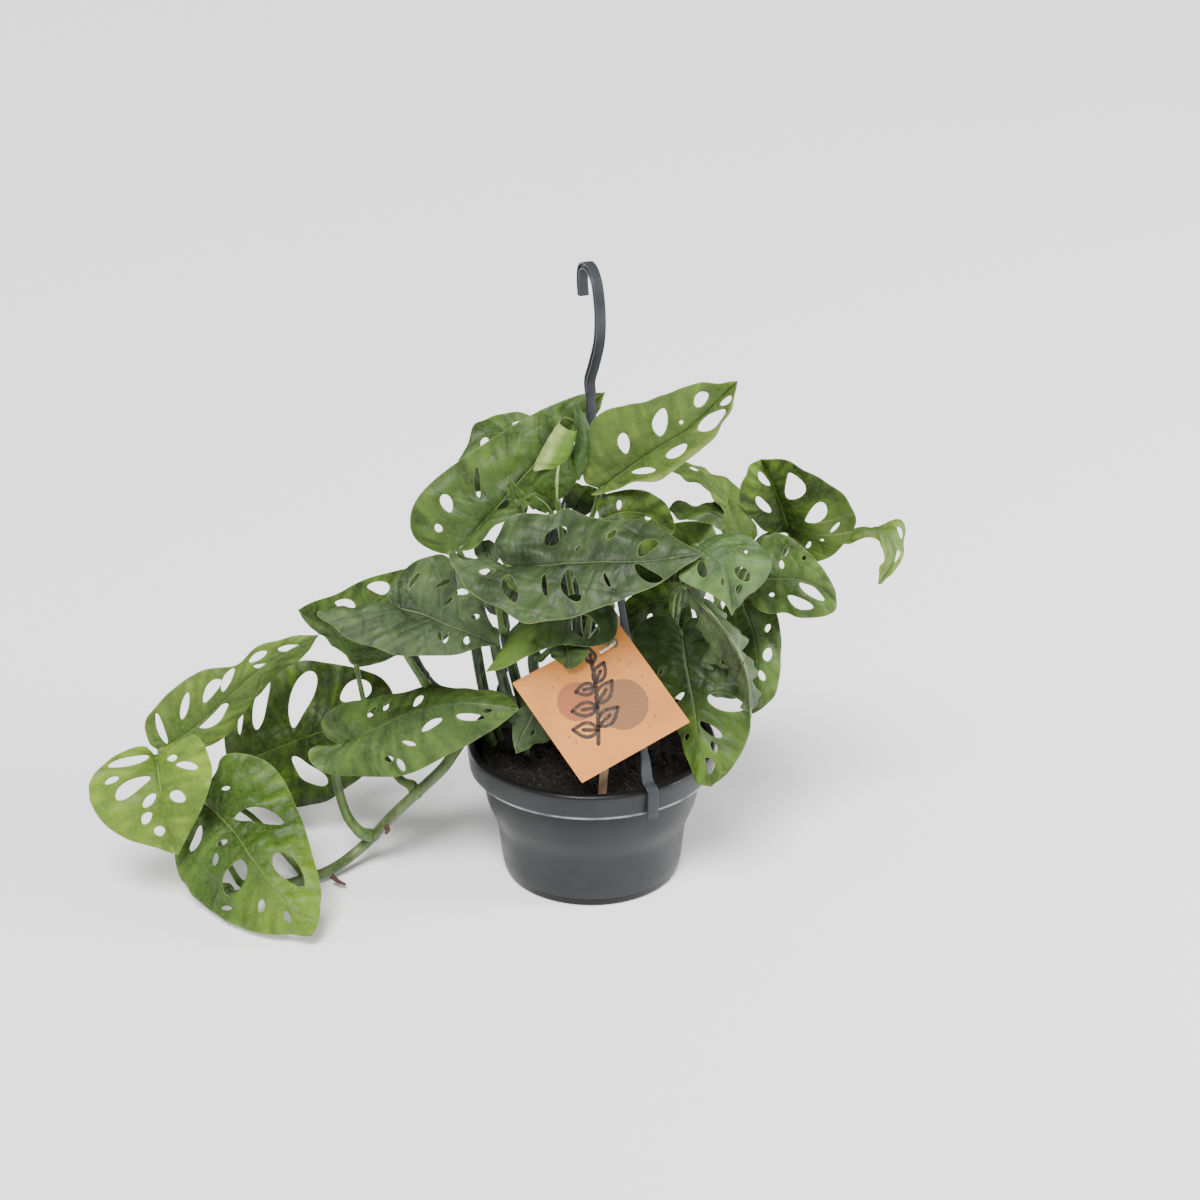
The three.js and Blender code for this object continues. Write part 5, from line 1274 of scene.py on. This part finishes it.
def plasticMaterial(name, base, lighter, rough, scuff, shaded=False):
    # injection-moulded polypropylene: satin, faint flow marks, fine scratches
    material, tree = newMaterial(name)
    cloud, grain = unevenness(tree, 26, 3), unevenness(tree, 0.5, 2, 0.6)
    lines = unevenness(tree, 5, 3, 0.7, (1, 1, 9))
    colour = over(tree, base, lighter, (cloud, 0.3, 0.7))
    colour = over(tree, colour, "#6a6b6c", (lines, 0.62, 0.8, 0.0, scuff))
    if shaded:
        # black at the foot, on the rim's top and down the inner wall: painted contact shadow at the foot and
        # painted shade on the rim's top and inside the pot
        x, y, height = addNode(tree, "ShaderNodeSeparateXYZ", (objectPlace(tree),)).node.outputs
        flat = addNode(tree, "ShaderNodeCombineXYZ", (x, y))
        reach = addNode(tree, "ShaderNodeVectorMath", (flat,), operation="LENGTH").node.outputs["Value"]
        black = amount(tree, (reach, *potShades["innerReach"]), (height, *potShades["innerHeight"]))
        for edge, most in (("foot", 1.0), ("rim", 0.85)):
            part = amount(tree, (height, *potShades[edge], 0.0, most))
            black = addNode(tree, "ShaderNodeMath", (black, part), operation="MAXIMUM")
        colour = over(tree, colour, "#070606", black)
        # pale line along the band's lower edge: painted highlight where the edge catches light, broken up as
        # wear
        glintAndWear = unevenness(tree, 18, 3, 0.6)
        colour = over(tree, colour, "#9a9c9f", (reach, *potShades["lineReach"]),
                      (height, *potShades["lineHeight"]), (glintAndWear, 0.35, 0.6, 0.15, 0.7))
    shine = amount(tree, (cloud, 0.25, 0.75, rough - 0.05, rough + 0.07))
    relief = ((grain, 0.03), (lines, 0.05))
    finish(tree, surfaceOf(tree, colour, shine, relief, **{"Specular IOR Level": 0.2}))
    return material


potMat = plasticMaterial("potPlastic", "#262728", "#2b2c2d", 0.36, 0.05, shaded=True)
hangerMat = plasticMaterial("hangerPlastic", "#2b2d31", "#393c40", 0.32, 0.08)
wall = spline(pot["wall"], np.linspace(0, 1, 40)).tolist()
profile = filleted(pot["foot"] + wall + pot["band"] + pot["inside"], pot["fillet"])
makePiece("pot_body", turned(profile, pot["segments"]), [potMat], ("pot",))
print("pot made")

soil = {
    "level": 82, "highest": 83.4, "radius": 67.6, "rings": 64, "segments": 200, "seed": 7,
    "side": [(51.4, 3.5), (54.0, 12), (57, 37.2), (63.8, 58), (65.2, 72)],  # radius, height
    "lumps": [(34, 0.8, 8), (13, 0.55, 14), (5.5, 0.38, 22), (2.6, 0.2, 26)],  # size, lift, how many
}


def soilHeight(x, y):
    random = np.random.default_rng(soil["seed"])
    height = np.zeros_like(x)
    for size, lift, count in soil["lumps"]:
        for _ in range(count):
            heading, start = random.uniform(0, 2 * math.pi, 2)
            often = 2 * math.pi / (size * random.uniform(0.7, 1.4))
            across = x * math.cos(heading) + y * math.sin(heading)
            height += lift / math.sqrt(count) * np.sin(across * often + start)
    return height


def soilMaterial():
    # damp potting soil: near-black peat with brown fibre
    material, tree = newMaterial("pottingSoil")
    lump, fibre = unevenness(tree, 3.2, 5, 0.7), unevenness(tree, 1.1, 4, 0.7, (1, 0.35, 1), distortion=1.2)
    colour = over(tree, "#040202", "#0e0805", (lump, 0.35, 0.7))
    colour = over(tree, colour, "#2a150c", (fibre, 0.56, 0.72, 0.0, 0.6))
    damp = amount(tree, (lump, 0.3, 0.7, 0.6, 0.92))
    finish(tree, surfaceOf(tree, colour, damp, ((lump, 1.1), (fibre, 0.5)), **{"Specular IOR Level": 0.3}))
    return material


def crumbMaterial(name, dark, light):
    # crumbs of bark, peat and grit: matt, each piece a little different
    return grainMaterial(name, dark, [(light, (6, 1), 0.38, 0.62)], 0.3, 0.8, (0.8, 3, 0.6))


angle = around(soil["segments"])
radii = np.linspace(soil["radius"], 0.8, soil["rings"])[:, None]
x, y = radii * np.cos(angle), radii * np.sin(angle)
loose = smooth(66.5, 62, np.hypot(x, y))  # 0 at the wall, 1 away from it
z = soil["level"] - 0.7 + soilHeight(x, y) * (0.35 + 0.65 * loose) - 0.8 * (1 - loose)
top = np.stack([x, y, np.minimum(z, soil["highest"])], axis=2)
side = [np.column_stack([circle((0, 0), r, soil["segments"]), np.full(soil["segments"], h)])
        for r, h in soil["side"]]
soilPiece = makePiece("soil_bed", loft(np.concatenate([side, top])), [soilMaterial()], ("soil",))


def chip(name, stretch, seed):
    # one rough crumb, about 1 mm across
    work = bmesh.new()
    bmesh.ops.create_icosphere(work, subdivisions=1, radius=0.0005)
    random = np.random.default_rng(seed)
    for vert in work.verts:
        vert.co = Vector([c * s * random.uniform(0.7, 1.25) for c, s in zip(vert.co, stretch)])
    mesh = bpy.data.meshes.new(name)
    work.to_mesh(mesh)
    work.free()
    return bpy.data.objects.new(name, mesh)


def scatter(name, grain, count, sizes, seed, material, sink):
    # Geometry Nodes: grains over the soil's upper side, made real and coloured; count is per square metre
    group = bpy.data.node_groups.new(name, "GeometryNodeTree")
    face = group.interface
    face.new_socket("Geometry", in_out="INPUT", socket_type="NodeSocketGeometry")
    for label, value in (("Density", count), ("Smallest", sizes[0]), ("Largest", sizes[1])):
        face.new_socket(label, in_out="INPUT", socket_type="NodeSocketFloat").default_value = value
    face.new_socket("Seed", in_out="INPUT", socket_type="NodeSocketInt").default_value = seed
    face.new_socket("Geometry", in_out="OUTPUT", socket_type="NodeSocketGeometry")
    given = addNode(group, "NodeGroupInput").node.outputs
    normal = addNode(group, "GeometryNodeInputNormal")
    slant = addNode(group, "ShaderNodeSeparateXYZ", (normal,)).node.outputs["Z"]
    upright = addNode(group, "FunctionNodeCompare", (slant, 0.6), operation="GREATER_THAN")
    points = addNode(group, "GeometryNodeDistributePointsOnFaces", {
        "Mesh": given["Geometry"], "Selection": upright, "Density": given["Density"], "Seed": given["Seed"]})
    shape = addNode(group, "GeometryNodeObjectInfo", (grain,)).node.outputs["Geometry"]
    turn = addNode(group, "FunctionNodeRandomValue", {
        0: (0, 0, 0), 1: (6.28, 6.28, 6.28), "Seed": given["Seed"]}, data_type="FLOAT_VECTOR")
    size = addNode(group, "FunctionNodeRandomValue", {
        2: given["Smallest"], 3: given["Largest"], "Seed": given["Seed"]}, data_type="FLOAT")
    laid = addNode(group, "GeometryNodeInstanceOnPoints", {
        "Points": points, "Instance": shape, "Rotation": turn, "Scale": size})
    lowered = addNode(group, "GeometryNodeTranslateInstances", {
        "Instances": laid, "Translation": (0, 0, -sink / 1000), "Local Space": False})
    real = addNode(group, "GeometryNodeRealizeInstances", (lowered,))
    coloured = addNode(group, "GeometryNodeSetMaterial", {"Geometry": real, "Material": material})
    addNode(group, "NodeGroupOutput", {0: coloured})
    carrier = addToScene(name + "_carrier", soilPiece.data)
    carrier.modifiers.new("scatter", "NODES").node_group = group
    graph = bpy.context.evaluated_depsgraph_get()
    mesh = bpy.data.meshes.new_from_object(carrier.evaluated_get(graph), depsgraph=graph)
    bpy.data.objects.remove(carrier)
    piece = addToScene(name, mesh)
    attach(piece, "root")


crumb, bark = chip("crumb", (1, 0.8, 0.6), 3), chip("bark", (1.7, 0.8, 0.45), 5)
scatter("soil_crumbs", crumb, 190000, (0.5, 1.9), 11, crumbMaterial("peatCrumb", "#060302", "#150c07"), 0.1)
scatter("soil_bark", bark, 16000, (0.8, 2.4), 12, crumbMaterial("barkChip", "#1a0c07", "#341c10"), 0.1)
scatter("soil_grit", crumb, 2200, (0.5, 1.2), 13, crumbMaterial("paleGrit", "#3a2a1c", "#6b573f"), 0.0)

fibres = {"count": 90, "points": 9, "seed": 21, "spread": 60, "edge": 64, "highest": 84,
          "radius": (0.1, 0.24)}
random = np.random.default_rng(fibres["seed"])
threads = []
for _ in range(fibres["count"]):
    reach, heading = fibres["spread"] * math.sqrt(random.uniform(0, 1)), random.uniform(0, 2 * math.pi)
    at = reach * np.array([math.cos(heading), math.sin(heading)])
    heading = random.uniform(0, 2 * math.pi)
    line = []
    for _ in range(fibres["points"]):
        height = soil["level"] - 0.4 + soilHeight(at[:1], at[1:])[0] + random.uniform(0, 0.5)
        line.append([*at, min(height, fibres["highest"])])
        heading += random.normal(0, 0.35)
        at = at + random.uniform(0.7, 1.5) * np.array([math.cos(heading), math.sin(heading)])
    if np.hypot(*at) <= fibres["edge"]:
        threads.append(tube(line, np.full(len(line), random.uniform(*fibres["radius"])), 5))
makePiece("soil_fibres", joined(*threads), [crumbMaterial("rootFibre", "#21120a", "#4a3320")])
print("soil made")

hanger = {
    "turn": 68,  # degrees between the hook's plane and the front
    "width": 5.5, "depth": 4.3,
    "collar": 314.5,  # the post is narrower below this height
    "path": [(-12, 371), (-13.5, 380), (-12, 387.6), (-6, 391.4), (1, 391.4), (7, 387.6), (11, 381),
             (14, 367), (12.5, 351), (5, 335), (-2, 322), (-1, 314), (0, 300), (0, 272)],
    # one quarter of the I-shaped section, as shares of width and depth
    "section": [(0.5, -0.5), (0.5, -0.24), (0.26, -0.18)],
    "crown": [(0, 266), (6.9, 266), (6.9, 274), (4.6, 274), (3.8, 278), (0, 278)],
    "strapAngles": (298, 146, 68), "strapWidth": 5.3, "strapDepth": 1.7,
    "strapPath": [(8.6, 269), (40, 188), (68.5, 104), (70.2, 93.5), (72.6, 90.4), (76.2, 90.2),
                  (78.2, 87.6), (78.2, 80), (77.6, 69.5)],
}
up = np.array([0, 0, 1])


def squareSection(rounding):
    return filleted([(-1, -1), (1, -1), (1, 1), (-1, 1)], rounding, 3, closed=True)


def hookPiece():
    turn = math.radians(hanger["turn"])
    across = np.array([math.cos(turn), -math.sin(turn), 0])
    broad = np.array([math.sin(turn), math.cos(turn), 0])
    lower = np.array(hanger["section"])
    right = np.vstack([lower, lower[::-1] * [1, -1]])
    section = filleted(np.vstack([right, -right]), 0.05, 2, closed=True)
    line = drawnCurve(hanger["path"], 2, 200)(np.linspace(0, 1, 150))
    away, height = sideOf(line).T[..., None]
    level = line[:, 1:]
    width = hanger["width"] * (1.04 - 0.18 * smooth(hanger["collar"] + 0.5, hanger["collar"] - 0.5, level))
    body = swept(section, line[:, :1] * across + level * up, broad * width,
                 (away * across + height * up) * hanger["depth"])
    points, faces = joined(body, turned(filleted(hanger["crown"], 0.6), 48))
    makePiece("hanger_hook_body", (points, faces), [hangerMat], ("hanger_hook",))


def strapPiece(name, degrees):
    angle = math.radians(degrees)
    outward = np.array([math.cos(angle), math.sin(angle), 0])
    sideways = np.array([-math.sin(angle), math.cos(angle), 0])
    line = evenly(filleted(hanger["strapPath"], 2.2, 5), 3)
    away, height = -sideOf(line).T[..., None]
    level = line[:, 1:]
    width = hanger["strapWidth"] * (0.62 + 0.2 * smooth(250, 180, level) + 0.5 * smooth(112, 96, level))
    body = swept(squareSection(0.35), line[:, :1] * outward + level * up, sideways * width / 2,
                 (away * outward + height * up) * hanger["strapDepth"] / 2)
    makePiece(name + "_body", body, [hangerMat], (name,))


hookPiece()
for index, degrees in enumerate(hanger["strapAngles"]):
    strapPiece("hanger_strap_%d" % (index + 1), degrees)
print("hanger made")

tag = {
    "corners": [[512, 683, 57], [582, 783, 80], [690, 722, 66], [620, 625, 43]],
    "thickness": 0.7, "hole": (613.5, 643), "holeRadius": 3.0,
    "curl": 0.25, "curlReach": 38,  # mm that the middle stands out, and where the curl crosses zero
    "rounding": 0.8, "spacing": 3,
}
corners = place(tag["corners"])
cardNormal = unit(np.cross(corners[2] - corners[0], corners[3] - corners[1]))
cardCentre = corners.mean(axis=0)
corners = corners + np.outer((cardCentre - corners) @ cardNormal, cardNormal)
sight = place([[*tag["hole"], 0]])[0] - eye
cardHole = eye + sight * ((cardCentre - eye) @ cardNormal) / (sight @ cardNormal)
if cardNormal @ (eye - cardCentre) < 0:
    cardNormal = -cardNormal
cardRight = unit(corners[2] - corners[1])
cardUp = np.cross(cardNormal, cardRight)
half = tag["thickness"] / 2


def toCard(points):
    return np.stack([(points - cardCentre) @ cardRight, (points - cardCentre) @ cardUp], axis=-1)


def onCard(flat, lift):
    flat = np.asarray(flat, float)
    lift = lift + tag["curl"] * (1 - (flat[:, :1] / tag["curlReach"]) ** 2)
    return cardCentre + flat[:, :1] * cardRight + flat[:, 1:] * cardUp + lift * cardNormal


# kraft-coloured printed card with a faint fibre
boardLayers = [("#cb8336", (30,), 0.3, 0.7), ("#a05e22", (1.4, 4, 0.7, (1, 0.4, 1)), 0.4, 0.75, 0.0, 0.22)]
boardMat = grainMaterial("tagCard", "#bd7529", boardLayers, 0.04, 0.62)
outline = filleted(toCard(corners), tag["rounding"], closed=True)
outline = evenly(np.vstack([outline, outline[:1]]), tag["spacing"])[:-1]
punch = circle(toCard(cardHole), tag["holeRadius"], 32)
span = np.arange(-46, 47, float(tag["spacing"]))
flat, faces = cutSheet(meshGrid(span, span), outline, [punch], 0.8)
makePiece("tag_card_sheet", shell(onCard(flat, half), onCard(flat, -half), faces), [boardMat],
          ("tag_card",), smoothShade=False)


def printed(name, shapes, colour, lift):
    # flat shapes of matt printing ink just above the card
    points, faces = joined(*[(onCard(shape, half + lift), [range(len(shape))]) for shape in shapes])
    ink = grainMaterial(name + "Ink", colour, [("#b57a44", (1.4, 4, 0.7), 0.35, 0.75, 0.0, 0.25)], 0.03, 0.66)
    makePiece(name, (points, faces), [ink], smoothShade=False)


def fullDisc(centre, radius, rings=8, sides=64):
    # a disc in small pieces, so that it follows the bend of the card
    lines = [circle(centre, radius * k / rings, sides) for k in range(1, rings + 1)]
    pieces = [lines[0]]
    for inner, outer in zip(lines[:-1], lines[1:]):
        pieces += [[inner[i - 1], outer[i - 1], outer[i], inner[i]] for i in range(sides)]
    return pieces


def stroke(rows, width):
    # a line of even width with round ends, as one strip of four-sided shapes
    line = spline(rows, np.linspace(0, 1, 8 * (len(rows) - 1) + 1))
    side = sideOf(line) * width / 2
    left, right = line + side, line - side
    strips = np.stack([left[:-1], right[:-1], right[1:], left[1:]], axis=1)
    return [circle(end, width / 2, 14)[::-1] for end in (line[0], line[-1])] + list(strips)


def ovalLeaf(base, degrees, length, width):
    # both margins of one leaf of the drawn sprig, and its middle line
    turn, t = math.radians(degrees), np.linspace(0, 1, 6)[:, None]
    ahead, side = np.array([math.cos(turn), math.sin(turn)]), np.array([-math.sin(turn), math.cos(turn)])
    middle, bulge = base + ahead * length * t, side * width * np.sin(math.pi * t ** 0.85)
    return [middle + bulge, middle - bulge, [base, base + ahead * length * 0.6]]


sprig = {
    "stalk": [(-13, -20), (-7, -9), (-1, 3), (4, 14), (7, 24)],
    # foot, direction, length, half width
    "leaves": [((-9, -13), 150, 15, 4.2), ((-8, -11), 15, 16, 4.2), ((-3, -1), 160, 15, 4.0),
               ((-2, 1), 28, 16, 4.0), ((2, 10), 165, 12, 3.4), ((3, 12), 38, 13, 3.4),
               ((7, 23), 74, 9, 2.8)],
    "line": 2.2,
    "dots": [(-26, -8), (-24, -13), (-20, 22), (-15, 25), (22, 17), (26, 12), (24, -22), (18, -26), (29, 2)],
    "dotRadius": 0.55,
}
printed("tag_disc_taupe", fullDisc((11, -7), 15), "#7c5432", 0.03)
printed("tag_disc_terracotta", fullDisc((-12, 8), 11.5), "#96522a", 0.05)
strokes = stroke(sprig["stalk"], sprig["line"] * 1.15)
for row in sprig["leaves"]:
    for line in ovalLeaf(*row):
        strokes += stroke(line, sprig["line"])
printed("tag_sprig", strokes, "#141415", 0.08)
printed("tag_dots", [circle(dot, sprig["dotRadius"], 12) for dot in sprig["dots"]], "#5a4434", 0.06)


def woodMaterial():
    # pale lolly-stick birch with long grain, darker where the damp soil meets it
    material, tree = newMaterial("stickWood")
    grain = unevenness(tree, 2.2, 4, 0.6, (1, 1, 0.08))
    colour = over(tree, "#c2aa88", "#a58d6a", (grain, 0.35, 0.68))
    height = addNode(tree, "ShaderNodeSeparateXYZ", (objectPlace(tree),)).node.outputs["Z"]
    colour = over(tree, colour, "#6b4a33", (height, 0.081, 0.092, 0.75, 0.0))
    finish(tree, surfaceOf(tree, colour, 0.6, ((grain, 0.15),)))
    return material


stick = {"foot": [603, 784, 56], "top": [616.5, 613, 30], "lowest": 69.2, "width": 5.1, "depth": 1.7}
foot, top = place([stick["foot"], stick["top"]])
aim = unit(top - foot)
foot = foot + aim * (stick["lowest"] - foot[2]) / aim[2]
stickSide = unit(np.array([1, 0, 0]) - aim * aim[0])
t = np.linspace(0, 1, 40)[:, None]
roundEnd = np.sqrt(np.maximum(0, 1 - np.maximum(0, (t - 0.975) / 0.025) ** 2)) * 0.9 + 0.1
body = swept(squareSection(0.3), foot + (top - foot) * t, stickSide * stick["width"] / 2 * roundEnd,
             np.cross(stickSide, aim) * stick["depth"] / 2 + 0 * t)
makePiece("tag_stick_wood", body, [woodMaterial()], ("tag_stick",))

tie = {"path": [[613.9, 642.3, 42], [613.5, 643, 47.2], [609, 646.5, 51], [600, 652, 53]], "points": 48,
       "twist": 14, "apart": 0.55, "strand": 0.72}
# pale raffia tie of two twisted strands
tieMat = grainMaterial("tieRaffia", "#fdf3dd", [("#e0cfa8", (0.7, 3, 0.6, (0.4, 1, 1)), 0.3, 0.7)], 0.2, 0.7)
t = np.linspace(0, 1, tie["points"])
middle = drawnCurve(place(tie["path"]), 3, 80)(t)
sideway, upway = framesAlong(middle)
strands = []
for start in (0, math.pi):
    turn = (start + t * tie["twist"])[:, None]
    strand = middle + (np.cos(turn) * sideway + np.sin(turn) * upway) * tie["apart"]
    strands.append(tube(strand, np.full(len(t), tie["strand"]), 10))
makePiece("tag_tie_twine", joined(*strands), [tieMat], ("tag_tie",))
print("tag made")

studio = {"floorReach": 9, "world": 0.42, "sun": 5.8, "sunAngle": 22, "sunDirection": (0.2, 1.15, -1.5)}
floorMesh = bpy.data.meshes.new("floor")
floorMesh.from_pydata([(x * studio["floorReach"], y * studio["floorReach"], 0)
                       for x, y in ((-1, -1), (1, -1), (1, 1), (-1, 1))], [], [(0, 1, 2, 3)])
floor = addToScene("floor", floorMesh)
floor.location.z = -0.0002
floorMat, tree = newMaterial("studioFloor")
finish(tree, surfaceOf(tree, linear("#ffffff"), 0.8, ()))
floorMesh.materials.append(floorMat)

world = bpy.data.worlds.new("studio")
bpy.context.scene.world = world
world.use_nodes = True
background = world.node_tree.nodes["Background"].inputs
background["Color"].default_value = (1, 1, 1, 1)
background["Strength"].default_value = studio["world"]


def aimed(name, light, direction):
    lamp = addToScene(name, light)
    lamp.rotation_euler = Vector(direction).to_track_quat("-Z", "Y").to_euler()
    return lamp


def softLight(name, position, target, size, power):
    light = bpy.data.lights.new(name, "AREA")
    light.shape, light.size, light.energy = "DISK", size, power
    aimed(name, light, Vector(target) - Vector(position)).location = position


sun = bpy.data.lights.new("key", "SUN")
sun.energy, sun.angle = studio["sun"], math.radians(studio["sunAngle"])
aimed("key", sun, studio["sunDirection"])
softLight("side", (1.9, -0.3, 0.8), (0, 0, 0.12), 1.0, 52)
softLight("left", (-1.9, -0.6, 0.7), (0, 0, 0.12), 1.0, 9)
print("studio lit")
